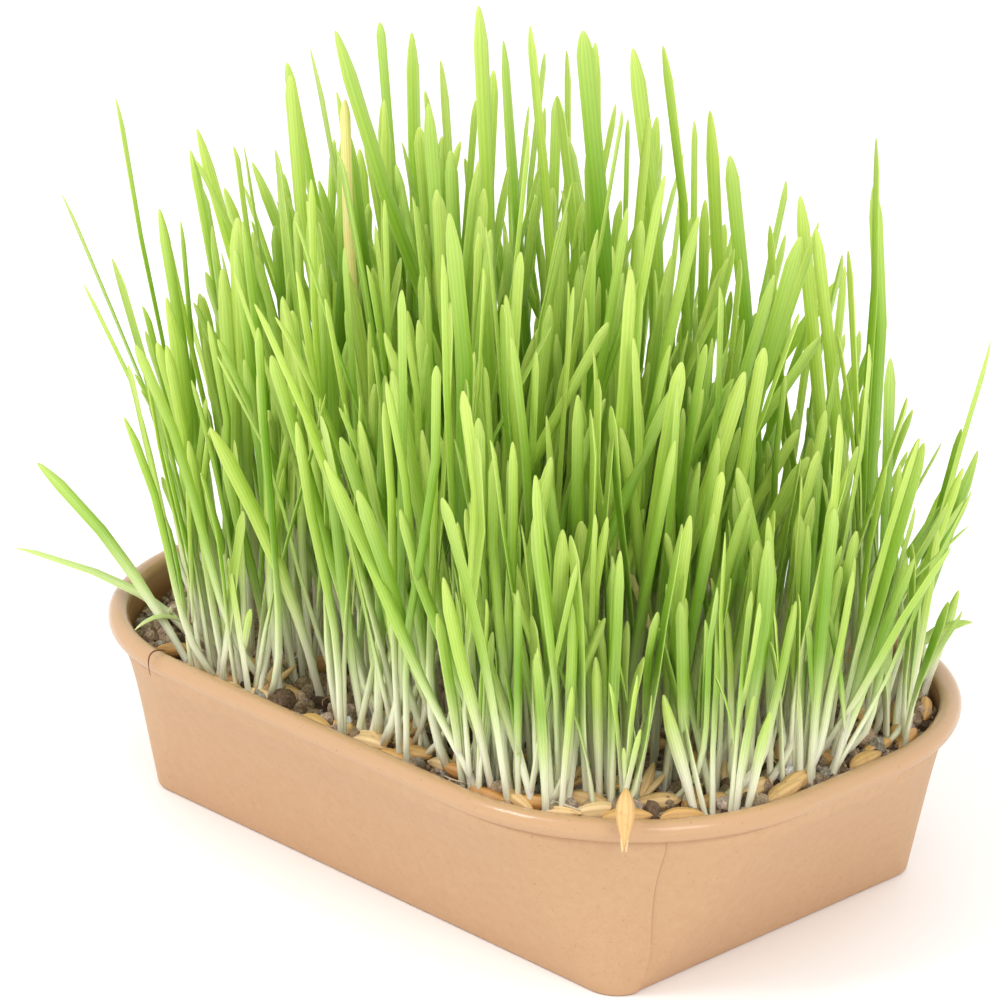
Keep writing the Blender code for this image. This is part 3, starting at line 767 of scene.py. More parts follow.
def bed_place(draw, border_chance):
    """A random place on the bed, often close to the wall where the bed shows."""
    near = draw.random() < border_chance
    while True:
        x = draw.uniform(-0.5, 0.5) * RIM_LENGTH
        y = draw.uniform(-0.5, 0.5) * RIM_WIDTH
        gap = wall_gap(x, y)
        if gap > BOARD + MM and (gap < BORDER_REACH or not near):
            return x, y, gap


def on_bed(x, y, lift):
    """A move to a place on the bed, this far over its level."""
    return Matrix.Translation((x, y, bed_height(x, y) + lift))


def random_turn(draw):
    """A random turn in space."""
    angles = [draw.uniform(0, math.tau) for _ in range(3)]
    return Euler(angles).to_matrix().to_4x4()


def make_grit(name, count, sizes, subdivisions, bits, seed, finish):
    """Angular bits lying on the soil, most of them near the rim."""
    draw = random.Random(seed)
    shapes = [lump_template(subdivisions, draw) for _ in range(GRIT_SHAPES)]
    bm = bmesh.new()
    tint = bm.verts.layers.float_color.new("tint")
    for _ in range(count):
        x, y, gap = bed_place(draw, BORDER_SHARE)
        size = draw.uniform(*sizes) * MM
        size = min(size, 2 * (gap - BOARD - 0.3 * MM))
        flat = Vector([draw.uniform(*span) for span in GRIT_SQUASH])
        lift = crumble(x, y) * GRIT_FOLLOWS + size * draw.uniform(*GRIT_LIFT)
        turned = on_bed(x, y, lift) @ random_turn(draw) @ Matrix.Diagonal((*(flat * size), 1))
        stamp(bm, draw.choice(shapes), turned, tint, draw.random())
    for x, y, size, value in bits:
        turned = on_bed(x * MM, y * MM, BIT_LIFT) @ random_turn(draw) @ Matrix.Scale(size * MM, 4)
        stamp(bm, draw.choice(shapes), turned, tint, value)
    for shape in shapes:
        bpy.data.meshes.remove(shape)
    return piece(name, bm, finish, smooth=False)


def view_point(right, up, depth):
    """The point at a horizontal depth that the view shows this far right and up of its middle."""
    scale = VIEW_DISTANCE
    height = RIM_HEIGHT
    for _ in range(VIEW_ROUNDS):
        above = height - RIM_HEIGHT
        far = VIEW_DISTANCE + depth * math.cos(VIEW_TILT) - above * math.sin(VIEW_TILT)
        rise = up * far / scale + VIEW_SHIFT_UP - depth * math.sin(VIEW_TILT)
        height = RIM_HEIGHT + rise / math.cos(VIEW_TILT)
    sideways = right * far / scale + VIEW_SHIFT_RIGHT
    x = sideways * math.cos(VIEW_TURN) - depth * math.sin(VIEW_TURN)
    y = sideways * math.sin(VIEW_TURN) + depth * math.cos(VIEW_TURN)
    return Vector((x, y, height))


def view_depth(x, y):
    """How far a point of the bed lies behind the tray's middle in the view."""
    return y * math.cos(VIEW_TURN) - x * math.sin(VIEW_TURN)


def view_across(x, y):
    """How far a point of the bed lies to the right of the tray's middle in the view."""
    return x * math.cos(VIEW_TURN) + y * math.sin(VIEW_TURN)


def make_blade(root, tip, width, draw):
    """A blade from its root in the bed to its tip, upright at first and then leaning."""
    start = Vector((root[0], root[1], bed_height(*root) - ROOT_DEPTH))
    rise = tip.z - start.z
    lean = Vector((tip.x - start.x, tip.y - start.y, 0))
    middle = start + Vector((0, 0, rise * MIDDLE_RISE)) + lean * draw.uniform(*MIDDLE_LEAN)
    return {
        "path": (start, middle, tip),
        "width": width,
        "facing": draw.uniform(0, math.pi),
        "twist": draw.uniform(-BLADE_TWIST, BLADE_TWIST),
    }


def arched_blade(root, tip, width, draw):
    """A blade that rises from its root and then reaches out over the rim."""
    blade = make_blade(root, tip, width, draw)
    start, middle, end = blade["path"]
    if middle.z - start.z < ARCH_LEAST:
        middle = start.lerp(Vector((end.x, end.y, start.z)), ARCH_LEAN)
        middle.z = start.z + ARCH_LEAST
        blade["path"] = (start, middle, end)
    return blade


def sward_height(x, y):
    """Usual height of the grass above the bed at a place: tall in the middle, short at the front."""
    places = [place * MM for place, _ in SWARD_HEIGHTS]
    tall = [height * MM for _, height in SWARD_HEIGHTS]
    usual = float(np.interp(view_across(x, y), places, tall))
    corner = math.hypot(x - FRONT_CORNER[0], y - FRONT_CORNER[1])
    return usual * min(FRONT_SHARE + corner / FRONT_DISTANCE, 1)


def inside_wall(x, y, inset):
    """Whether a place lies at least this far inside the wall's outer face where it flares most."""
    half_x, half_y, radius = wall_sizes(FLARE_TOP, inset)
    over_x = max(abs(x) - (half_x - radius), 0)
    over_y = max(abs(y) - (half_y - radius), 0)
    return abs(x) < half_x and abs(y) < half_y and math.hypot(over_x, over_y) < radius


def samples(blade):
    """Points along a blade, for keeping blades apart."""
    start, middle, end = (np.array(point) for point in blade["path"])
    share = np.linspace(0, 1, SAMPLES)[:, None]
    return start * (1 - share) ** 2 + middle * 2 * share * (1 - share) + end * share ** 2


def crosses(line, crowd, clear):
    """Whether a blade comes closer to the others than blades may."""
    low = line.min(axis=0) - clear
    high = line.max(axis=0) + clear
    near = crowd[np.all((crowd > low) & (crowd < high), axis=1)]
    if not len(near):
        return False
    gaps = line[:, None] - near[None]
    return (gaps ** 2).sum(axis=2).min() < clear ** 2


def held_tip(root, tip_x, tip_y, height):
    """A tip kept inside the tray's reach and under the sward's usual height."""
    limit_x = REACH_ALONG - REACH_MARGIN
    limit_y = REACH_ACROSS - REACH_MARGIN
    tip_x = min(max(tip_x, -limit_x), limit_x)
    tip_y = min(max(tip_y, -limit_y), limit_y)
    beyond = max(TIPS_FROM - view_across(tip_x, tip_y), 0)
    tip_x += beyond * math.cos(VIEW_TURN)
    tip_y += beyond * math.sin(VIEW_TURN)
    height = min(height, sward_height(tip_x, tip_y))
    return Vector((tip_x, tip_y, bed_height(*root) + height))


def grown_blade(root, attempt, looseness, draw):
    """A blade of the fill: it leans with its neighbours and away from the bed's middle."""
    height = sward_height(*root) * (HEIGHT_LEAST + HEIGHT_VARIES * draw.random())
    sway = height * (SWAY + SWAY_GROWTH * attempt) * looseness
    first, second, third, fourth = DRIFT_WAVES
    drift_x = DRIFT * height * math.sin(root.x / first + root.y / second)
    drift_y = DRIFT * height * math.cos(root.y / third - root.x / fourth)
    tip_x = root.x * (1 + height / SPREAD_ALONG) + drift_x + draw.gauss(0, sway)
    tip_y = root.y * (1 + height / SPREAD_ACROSS) + drift_y + draw.gauss(0, sway)
    tip = held_tip(root, tip_x, tip_y, height)
    width = min(max(draw.gauss(WIDTH_USUAL, WIDTH_VARIES), WIDTH_LEAST), WIDTH_MOST)
    return make_blade(root, tip, width, draw)


def overgrown(x, y):
    """Whether finer growth stands at a place: in clumps near the rim, sparse at its front right."""
    if view_across(x, y) < BARE_END:
        return False
    if wall_gap(x, y) > CLUMP_BAND:
        return True
    in_front = view_depth(x, y) < 0 and view_across(x, y) > SPARSE_FROM
    return noise.noise(Vector((x, y, 0)) / CLUMP_LENGTH) > (SPARSE_CLUMPS if in_front else CLUMPS)


def fill(blades, count, gap, clear, tries, looseness, draw):
    """Grow blades between the others until there are this many."""
    roots = [blade["path"][0].to_2d() for blade in blades]
    crowd = np.concatenate([samples(blade) for blade in blades])
    while len(blades) < count:
        along = draw.uniform(-0.5, 0.5) * RIM_LENGTH
        across = draw.uniform(-0.5, 0.5) * RIM_WIDTH
        root = Vector((along, across))
        if view_across(along, across) < BARE_END:
            continue
        if not inside_wall(along, across, POCKET_INSET + ROOT_INSET):
            continue
        if min((root - other).length for other in roots) < gap:
            continue
        for attempt in range(tries):
            blade = grown_blade(root, attempt, looseness, draw)
            line = samples(blade)
            if not crosses(line, crowd, clear):
                blades.append(blade)
                roots.append(root)
                crowd = np.concatenate([crowd, line])
                break


def sward():
    """The solid's blades in their order: named, far-reaching, then its seeded fill."""
    draw = random.Random(BLADE_SEED)
    blades = []
    for along, across, right, up, back, width in NAMED_BLADES:
        root = (along * MM, across * MM)
        tip = view_point(right * MM, up * MM, view_depth(*root) + back * MM)
        blades.append(make_blade(root, tip, width * MM, draw))
    for along, across, tip_along, tip_across, tip_height, width in REACHING_BLADES:
        tip = Vector((tip_along, tip_across, tip_height)) * MM
        blades.append(arched_blade((along * MM, across * MM), tip, width * MM, draw))
    fill(blades, BLADE_COUNT, BLADE_GAP, BLADE_CLEAR, TRIES, 1, draw)
    return blades


def leaning(x, y):
    """How far growth leans to the right of the view, as a share of its height."""
    right, left = LEANS
    share = 0
    if view_depth(x, y) < 0:
        share = right[2] * max(view_across(x, y) - right[0], 0) / (right[1] - right[0])
    share += left[2] * max(left[0] - view_across(x, y), 0) / (left[0] - left[1])
    return level(VIEW_TURN).to_2d() * share


def swaying(x, y, height, amount, draw):
    """How far to the side the tip of growth of this height stands: at random, and leaning."""
    return (Vector((draw.gauss(0, amount), draw.gauss(0, amount))) + leaning(x, y)) * height


def tufts(draw):
    """Small tufts close to the rim, each of stems that spread from one handful of grains."""
    made = []
    while len(made) < TUFT_STEMS:
        x, y, gap = bed_place(draw, 1)
        if gap > TUFT_BAND[1] or draw.random() > TUFT_SHARE - view_depth(x, y) / RIM_LENGTH:
            continue
        if not overgrown(x, y):
            continue
        for _ in range(draw.randint(*TUFT_BLADES)):
            spot = Vector((x + draw.gauss(0, TUFT_SPREAD), y + draw.gauss(0, TUFT_SPREAD)))
            if wall_gap(*spot) < TUFT_BAND[0]:
                continue
            height = sward_height(*spot) * draw.uniform(*TUFT_HEIGHTS)
            lean = (spot - Vector((x, y))) * height / TUFT_LEAN
            sway = swaying(*spot, height, TUFT_SWAY, draw)
            tip = held_tip(spot, *(spot + lean + sway), height)
            made.append(make_blade(spot, tip, draw.uniform(*TUFT_WIDTHS) * MM, draw))
    return made


def sprouts(draw):
    """Shoots whose grain lies open on the soil: they leave it sideways and then turn upwards."""
    made = []
    while len(made) < SPROUTS:
        x, y, gap = bed_place(draw, 1)
        if gap < TUFT_BAND[0] or gap > TUFT_BAND[1] or view_depth(x, y) > 0:
            continue
        if any(math.hypot(x - other["path"][0].x, y - other["path"][0].y) < GRAIN_WIDTH for other in made):
            continue
        if not overgrown(x, y) and draw.random() < BARE_CHANCE:
            continue
        turn = edge_turn(x, y) + draw.gauss(0, SPROUT_TURN) + math.pi * draw.randint(0, 1)
        foot = level(turn) * draw.uniform(*SPROUT_FOOT)
        grain = Vector((x + foot.x, y + foot.y))
        if not inside_wall(*(grain + foot.to_2d().normalized() * GRAIN_LENGTH / 2), BORDER_LINE):
            continue
        height = sward_height(x, y) * draw.uniform(*SPROUT_HEIGHTS)
        sway = swaying(x, y, height, SPROUT_SWAY, draw)
        tip = held_tip(Vector((x, y)), x + sway.x, y + sway.y, height)
        blade = make_blade((x, y), tip, draw.uniform(*SPROUT_WIDTHS) * MM, draw)
        blade["path"][0].z += ROOT_DEPTH + GRAIN_LIFT + MM
        blade["foot"] = foot
        blade["stem"] = draw.uniform(*SPROUT_STEMS)
        made.append(blade)
    return made


def marked_blades(draw):
    """The blades of another colour that stand out: two yellowed, one grey-green."""
    made = []
    for along, across, right, up, width, mark in MARKED_BLADES:
        tip = view_point(right * MM, up * MM, view_depth(along * MM, across * MM))
        blade = make_blade((along * MM, across * MM), tip, width * MM, draw)
        blade["mark"] = mark
        made.append(blade)
    return made


def curled_leaf():
    """The small leaf at the left end that rises and then curls down over the rim."""
    path = tuple(Vector(place) * MM for place in CURLED_PATH)
    return {
        "path": path,
        "width": CURLED_WIDTH,
        "facing": CURLED_FACING,
        "twist": CURLED_TWIST,
        "stem": CURLED_WIDTH / 2,
        "foot": Vector(),
    }


def blade_template():
    """A tube of unit radius and length, closed to a point at its upper end."""
    bm = tube(BLADE_AROUND, len(BODY_SHARES) + len(TIP_SHARES) - 1)
    top = [vert for vert in bm.verts if vert.co.z > 0.5 - 1e-4]
    bmesh.ops.pointmerge(bm, verts=top, merge_co=(0, 0, 0.5))
    return stored("blade", bm)


def blade_rings(blade):
    """A blade's rings: share along it, the curve's point there, and how much of its width is left."""
    path = blade["path"]
    tip = min(blade["point"] * blade["width"] / (path[2] - path[0]).length, TIP_MOST)
    shares = [share * (1 - tip) for share in BODY_SHARES]
    shares += [1 - tip * share for share in TIP_SHARES]
    foot = blade.get("foot", Vector())
    waver = blade.get("waver", Vector())
    rings = []
    for share in shares:
        rest = 1 - share
        point = curve_point(path, share)
        point += foot * max(1 - share / FOOT_BEND, 0) ** 2
        point += waver * math.sin(math.tau * share * WAVER_TURNS) * share * rest * 4
        rings.append((share, point, min(rest / tip, 1) ** TIP_BLUNTNESS))
    return rings


def add_blade(bm, template, layer, blade):
    """Stamp one blade: a round stalk that opens into a channelled leaf with a blunt tip."""
    rings = blade_rings(blade)
    ground = bed_height(*blade["path"][0].to_2d())
    reach = GREEN_FROM + GREEN_SHARE * (blade["path"][2].z - ground)
    width = blade["width"] * LEAF_SLIMNESS
    stem = blade.get("stem", STEM_LEAST + STEM_SHARE * blade["width"])
    low, high = blade.get("opens", LEAF_OPENS)
    frames = []
    for number, (share, point, taper) in enumerate(rings):
        before = rings[max(number - 1, 0)][1]
        after = rings[min(number + 1, len(rings) - 1)][1]
        ahead = (after - before).normalized()
        facing = blade["facing"] + blade["twist"] * share
        side = level(facing)
        side = (side - ahead * side.dot(ahead)).normalized()
        ridge = ahead.cross(side)
        opening = eased((share - low) / (high - low))
        half_width = (stem + (width - stem) * opening) / 2 * taper
        thick = stem * STEM_FLATNESS
        half_depth = (thick + (LEAF_THICKNESS - thick) * min(opening * FLATTENING, 1)) / 2
        channel = width * blade["fold"] * opening * taper
        frames.append((point, side, ridge, half_width, half_depth * taper, channel))
    for vert in added(bm, template):
        ring = round((vert.co.z + 0.5) * (len(rings) - 1))
        across, up = vert.co.x, vert.co.y
        point, side, ridge, half_width, half_depth, channel = frames[ring]
        depth = half_depth * up - channel * (1 - across * across)
        vert.co = point + side * half_width * across + ridge * depth
        above = max(vert.co.z - ground, 0) / reach
        vert[layer] = (above, across, blade["tint"], rings[ring][0])


def second_leaf(blade, draw):
    """A younger leaf that comes out of a blade's sheath and leans to another side."""
    origin = curve_point(blade["path"], draw.uniform(*SECOND_FROM))
    rise = (blade["path"][2].z - origin.z) * draw.uniform(*SECOND_HEIGHTS)
    turn = draw.uniform(0, math.tau)
    lean = level(turn) * rise * draw.uniform(*SECOND_LEAN)
    tip = origin + Vector((0, 0, rise)) + lean
    return {
        "path": (origin, origin + Vector((0, 0, rise * 0.5)) + lean * 0.2, tip),
        "width": blade["width"] * draw.uniform(*SECOND_WIDTHS),
        "stem": SECOND_STEM,
        "opens": (0, 0.4),
        "fold": blade["fold"],
        "point": blade["point"],
        "facing": blade["facing"] + draw.uniform(-0.6, 0.6),
        "twist": draw.uniform(-1, 1),
        "tint": blade["tint"],
    }


def make_grass(shoots, finish):
    """All blades, in three pieces from the back of the tray to its front."""
    blades = sward()
    draw = random.Random(TUFT_SEED)
    solid_count = len(blades)
    fill(blades, BLADE_COUNT + MORE_BLADES, MORE_GAP, MORE_CLEAR, MORE_TRIES, MORE_SWAY, draw)
    grown = [blade for blade in blades[solid_count:] if overgrown(*blade["path"][0].to_2d())]
    for blade in grown:
        blade["width"] *= draw.uniform(*MORE_WIDTHS)
        start, middle, tip = blade["path"]
        near_end = (view_across(start.x, start.y) - MORE_END[0]) / (MORE_END[1] - MORE_END[0])
        height = MORE_HEIGHT - MORE_END_LOSS * min(max(near_end, 0), 1)
        for point in (middle, tip):
            point.z = start.z + (point.z - start.z) * height
        out = leaning(start.x, start.y).to_3d() * (tip.z - start.z)
        blade["path"] = (start, middle + out * MORE_BEND, tip + out)
    blades = blades[:solid_count] + grown
    blades += tufts(draw) + shoots + marked_blades(draw) + [curled_leaf()]
    for blade in blades:
        blade["tint"] = blade.get("mark", draw.random())
        blade["fold"] = draw.uniform(*LEAF_FOLDS)
        blade["point"] = draw.uniform(*TIP_IN_WIDTHS)
        turn = draw.uniform(0, math.tau)
        length = (blade["path"][2] - blade["path"][0]).length
        waver = WAVER * draw.random() * min(length / WAVER_FULL_FROM, 1) ** 2
        blade["waver"] = level(turn) * waver
    blades += [
        second_leaf(blade, draw) for blade in blades if "foot" not in blade and draw.random() < SECOND_LEAVES
    ]
    blades.sort(key=lambda blade: -view_depth(*blade["path"][0].to_2d()))
    template = blade_template()
    names = ["grass_back", "grass_middle", "grass_front"]
    share = math.ceil(len(blades) / len(names))
    for number, name in enumerate(names):
        bm = bmesh.new()
        layer = bm.verts.layers.float_color.new("growth")
        for blade in blades[number * share:(number + 1) * share]:
            add_blade(bm, template, layer, blade)
        piece(name, bm, finish, ["grass_sward"] if number == 0 else ())
    bpy.data.meshes.remove(template)


def grain_template(around, rings):
    """A hulled grain along +X: pointed, flattened, with ribs along its back and a furrow below."""
    bm = bmesh.new()
    bmesh.ops.create_uvsphere(bm, u_segments=around, v_segments=rings, radius=0.5)
    tint = bm.verts.layers.float_color.new("tint")
    for vert in bm.verts:
        across, up, along = vert.co
        share = along * 2
        if abs(share) < 0.999:
            girth = (1 - abs(share) ** 2.3) ** 0.8 * (1 - 0.18 * share)
            turn = math.atan2(up, across)
            rib = math.cos(GRAIN_RIBS * turn)
            furrow = 1 - GRAIN_FURROW * max(math.cos(turn + math.pi / 2), 0) ** 8
            across = math.cos(turn) * girth * (1 + GRAIN_RELIEF * rib) * furrow / 2
            up = math.sin(turn) * girth * (1 + GRAIN_RELIEF * rib) * furrow / 2
            # The rib's place is kept in green, for painted shade in the grooves between ribs
            vert[tint] = (0, rib / 2 + 0.5, 0, 1)
        vert.co = (along * GRAIN_LENGTH, across * GRAIN_WIDTH, up * GRAIN_WIDTH * GRAIN_FLATNESS)
    return stored("grain", bm)


def edge_turn(x, y):
    """Direction along the tray's edge at a place close to it."""
    half_x, half_y, radius = wall_sizes(FLARE_TOP, 0)
    out_x = math.copysign(max(abs(x) - (half_x - radius), 0), x)
    out_y = math.copysign(max(abs(y) - (half_y - radius), 0), y)
    return math.atan2(out_y, out_x) + math.pi / 2


def scattered_grains(count, fits, seed):
    """The solid's own rule for grains: places, turns and tilts, most of them near the front."""
    draw = random.Random(seed)
    places = []
    while len(places) < count:
        x = draw.uniform(-0.5, 0.5) * RIM_LENGTH
        y = draw.uniform(-0.5, 0.5) * RIM_WIDTH
        toward_front = -view_depth(x, y) / (RIM_LENGTH / 2)
        if draw.random() > GRAIN_CHANCE + toward_front or not fits(x, y):
            continue
        if any(math.hypot(x - other[0], y - other[1]) < GRAIN_LENGTH for other in places):
            continue
        turn = draw.uniform(0, math.pi)
        if not inside_wall(x, y, POCKET_INSET):
            turn = edge_turn(x, y)
        tilt = draw.uniform(-GRAIN_TILT, GRAIN_TILT)
        places.append((x, y, turn, tilt))
    return places


def make_grains(shoots, finish):
    """Grains on the soil: the solid's own, those of the sprouts, and more near the rim."""
    def on_border(x, y):
        outer = inside_wall(x, y, BORDER_LINE - BORDER_SPREAD)
        return outer and not inside_wall(x, y, BORDER_LINE + BORDER_SPREAD)

    def on_mat(x, y):
        return inside_wall(x, y, POCKET_INSET + GRAIN_LENGTH / 2)

    places = scattered_grains(GRAINS_ON_SOIL, on_border, GRAIN_SEED)
    places += scattered_grains(GRAINS_ON_MAT, on_mat, GRAIN_SEED + 1)
    for shoot in shoots:
        foot = shoot["foot"]
        spot = shoot["path"][0] + foot * (1 + GRAIN_LENGTH / 3 / foot.length)
        places.append((spot.x, spot.y, math.atan2(foot.y, foot.x), SPROUTED_TILT))
    draw = random.Random(GRAIN_SEED + 2)
    while len(places) < GRAINS_IN_ALL:
        x, y, gap = bed_place(draw, 1)
        if gap < GRAIN_LENGTH / 2 or draw.random() > LOOSE_SHARE - view_depth(x, y) / RIM_LENGTH:
            continue
        if any(math.hypot(x - other[0], y - other[1]) < LOOSE_GAP for other in places):
            continue
        places.append((x, y, draw.uniform(0, math.tau), draw.uniform(-LOOSE_TILT, LOOSE_TILT)))
    template = grain_template(2 * GRAIN_RIBS, GRAIN_RINGS)
    bm = bmesh.new()
    tint = bm.verts.layers.float_color.new("tint")
    for x, y, turn, tilt in places:
        lift = GRAIN_LIFT + draw.uniform(*GRAIN_RISE) * MM
        spin = Euler((draw.uniform(0, math.tau), tilt, turn)).to_matrix().to_4x4()
        size = draw.uniform(*GRAIN_SIZES)
        turned = on_bed(x, y, lift) @ spin @ Matrix.Scale(size, 4)
        stamp(bm, template, turned, tint, draw.random())
    for x, y, turn in HUSKS:
        low = on_bed(x * MM, y * MM, HUSK_LIFT)
        for spread in (-HUSK_SPREAD, HUSK_SPREAD):
            lean = Euler((spread * 2, -HUSK_TILT, turn + spread)).to_matrix().to_4x4()
            shell = Matrix.Translation((GRAIN_LENGTH * HUSK_START, 0, 0)) @ Matrix.Diagonal((*HUSK_SHAPE, 1))
            stamp(bm, template, low @ lean @ shell, tint, draw.uniform(*HUSK_TINTS))
    bpy.data.meshes.remove(template)
    return piece("grains", bm, finish)


def add_strand(bm, layer, path, side, sections, flatness, value):
    """A closed, ribbed strand along a curve through a bend, its widths given along it."""
    start, middle, end = path
    shares = [share for share, _ in sections]
    widths = [width * MM for _, width in sections]
    mesh = stored("strand", tube(2 * GRAIN_RIBS, STRAND_STEPS))
    copied = added(bm, mesh)
    bpy.data.meshes.remove(mesh)
    for vert in copied:
        share = vert.co.z + 0.5
        point = curve_point(path, share)
        ahead = ((middle - start) * (1 - share) + (end - middle) * share).normalized()
        ridge = ahead.cross(side)
        turn = math.atan2(vert.co.y, vert.co.x)
        rib = math.cos(GRAIN_RIBS * turn)
        half = float(np.interp(share, shares, widths)) / 2 * (1 + STRAND_RELIEF * rib)
        vert.co = point + (side * math.cos(turn) + ridge * math.sin(turn) * flatness) * half
        # The rib's place is kept in green, for painted shade in the grooves between ribs
        vert[layer] = (value, rib / 2 + 0.5, 0, 1)


def make_hanging_grain(finish):
    """The grain that hangs out over the front corner of the rim by its sprout, its hull split."""
    outward = level(math.radians(HANGING_ANGLE))
    side = outward.cross(Vector((0, 0, 1)))
    edge = Vector((RIM_LENGTH / 2 - RIM_CORNER, RIM_CORNER - RIM_WIDTH / 2, 0)) + outward * RIM_CORNER
    path = [edge + outward * out * MM + Vector((0, 0, up * MM)) for out, up in HANGING_PATH]
    bm = bmesh.new()
    tint = bm.verts.layers.float_color.new("tint")
    add_strand(bm, tint, path, side, HANGING_SECTIONS, HANGING_FLATNESS, HANGING_TINT)
    end = path[2]
    back = end.lerp(path[1], HANGING_SPLIT)
    for across in HANGING_PRONGS:
        point = end + side * across * MM - Vector((0, 0, MM))
        middle = back.lerp(point, 0.5) + side * across * MM * PRONG_BOW
        add_strand(bm, tint, (back, middle, point), side, PRONG_SECTIONS, HANGING_FLATNESS, PRONG_TINT)
    return piece("hanging_grain", bm, finish)


def make_root_hairs(finish):
    """Dry root hairs: one curls over the rim at the left end, others lie on the soil."""
    draw = random.Random(HAIR_SEED)
    bm = bmesh.new()
    tint = bm.verts.layers.float_color.new("tint")
    over_rim = [[Vector(place) * MM for place in path] for path in RIM_HAIRS]
    paths = list(over_rim)
    while len(paths) < HAIRS:
        x, y, gap = bed_place(draw, 1)
        if view_depth(x, y) > 0 or gap < HAIR_GAP:
            continue
        start = Vector((x, y, bed_height(x, y) + draw.uniform(*HAIR_LIFT) * MM))
        turn = draw.uniform(0, math.tau)
        reach = level(turn) * draw.uniform(*HAIR_REACH) * MM
        if not inside_wall(x + reach.x, y + reach.y, BORDER_LINE):
            continue
        bend = reach * 0.5 + Vector((-reach.y, reach.x, 0)) * draw.uniform(-HAIR_BEND, HAIR_BEND)
        bend.z = draw.uniform(0, HAIR_ARCH) * MM
        paths.append([start, start + bend, start + reach])
    for path in paths:
        ahead = path[2] - path[0]
        side = ahead.cross(Vector((0.3, 0.2, 1))).normalized()
        value = 0 if path in over_rim else draw.random()
        add_strand(bm, tint, path, side, HAIR_SECTIONS, 1, value)
    return piece("root_hairs", bm, finish)


def kraft_board(name):
    """Kraft paperboard: a soft fibre mottle with small dark flecks, a burnished rim, a darker brown inside
    painted as shade, and a painted shadow line along the lap's edge.
    """
    made, tree, shader = new_material(name, 0.6)
    board = ramp(tree, mottled(tree, 2.2 * MM, 6, Roughness=0.75), [(0.3, "BE966F"), (0.7, "C59E78")])
    fibre = mottled(tree, 0.6 * MM, 5, Roughness=0.7, Distortion=1.5)
    board = scaled(tree, board, ranged(tree, fibre, 0.3, 0.7, 0.95, 1.05))
    height = add(tree, "SeparateXYZ", {"Vector": place_on(tree)}).outputs["Z"]
    burnish = ranged(tree, height, RIM_HEIGHT - 2 * ROLL_RADIUS, RIM_HEIGHT - ROLL_RADIUS)
    board = mixed(tree, burnish, board, linear("C29A72"))
    parts = tints(tree)
    # Painted shade: the inside of the wall, marked red in its tint, is made darker brown
    board = mixed(tree, parts["Red"], board, linear("94683F"))
    # Painted shadow: a dark line along the lap's edge, marked green in its tint
    board = mixed(tree, ranged(tree, parts["Green"], 0.5, 1, 0, 0.6), board, linear("7A5230"))
    fleck = ranged(tree, mottled(tree, 0.8 * MM, 2), 0.68, 0.74, 0, 0.35)
    board = mixed(tree, fleck, board, linear("8A5F38"))
    gloss = ranged(tree, burnish, 0, 1, 0.6, 0.18)
    tree.links.new(gloss, shader.inputs["Roughness"])
    crease = add(tree, "Math", {0: mottled(tree, 3.5 * MM, 3), 1: burnish}, operation="MULTIPLY").outputs[0]
    wrinkled = bumped(tree, crease, 0.35, 0.35 * MM)
    dress(tree, shader, board, bumped(tree, fibre, 0.12, 0.05 * MM, Normal=wrinkled))
    return made


def soil_material():
    """Peat and bark mould, brown to tan on its crumbs, with its darkest brown painted as shade in the gaps of
    its bump, and no gloss.
    """
    made, tree, shader = new_material("peat soil", 0.9)
    # The same noise gives the bump and the colour: its low gaps are painted dark brown as shade, its raised
    # crumbs tan
    crumbs = mottled(tree, 2.5 * MM, 8, Roughness=0.75)
    colour = ramp(tree, crumbs, [(0.32, "33261A"), (0.42, "735D46"), (0.53, "A48A6B"), (0.68, "CBB698")])
    dress(tree, shader, colour, bumped(tree, crumbs, 0.8, 0.6 * MM))
    return made


def grit_material():
    """Bark, clay and stone grit, each bit of one kind: brown, tan, grey or white, with a speckle that paints
    shade in its pits and light on its rises, and no gloss.
    """
    made, tree, shader = new_material("bark and stone grit", 0.85)
    kinds = add(tree, "ValToRGB", {"Fac": tints(tree)["Red"]}, [
        (0, "5C4530"), (0.14, "8A7056"), (0.28, "AB9272"), (0.44, "C6AE8E"),
        (0.6, "D6B79C"), (0.74, "B2A996"), (0.84, "E0C9B4"), (0.95, "F8F5F0"),
    ])
    kinds.color_ramp.interpolation = "CONSTANT"
    speckle_and_pit_shade = mottled(tree, 0.7 * MM, 6, Roughness=0.78)
    # Fine speckle that doubles as painted shade and light: darker in the pits of the bump, lighter on its
    # rises
    colour = scaled(tree, kinds.outputs["Color"], ranged(tree, speckle_and_pit_shade, 0.4, 0.62, 0.5, 1.3))
    dress(tree, shader, colour, bumped(tree, speckle_and_pit_shade, 1, 0.6 * MM))
    return made


def root_material():
    """Dry root hair: thin, dull and brown, paler where it is young."""
    made, tree, shader = new_material("dry root", 0.7)
    colour = ramp(tree, tints(tree)["Red"], [(0, "6E4A32"), (0.5, "A98A68"), (1, "D8CDB4")])
    tree.links.new(colour, shader.inputs["Base Color"])
    return made


def grain_material():
    """Barley hull: dry straw-gold with a papery sheen, with painted shade as a browner tone in the grooves
    between its ribs.
    """
    made, tree, shader = new_material("barley hull", 0.48)
    parts = tints(tree)
    hull = ramp(tree, parts["Red"], [(0, "C8914F"), (0.5, "DDB06C"), (1, "EFD09A")])
    # Painted shade: the grooves between the ribs, low in the tint's green, are made browner
    hull = mixed(tree, ranged(tree, parts["Green"], 0, 0.6, 0.3, 0), hull, linear("9C6630"))
    stains = mottled(tree, 2.2 * MM, 5, Roughness=0.65)
    hull = mixed(tree, ranged(tree, stains, 0.56, 0.78, 0, 0.5), hull, linear("8F5A28"))
    dress(tree, shader, hull, bumped(tree, stains, 0.3, 0.2 * MM))
    return made


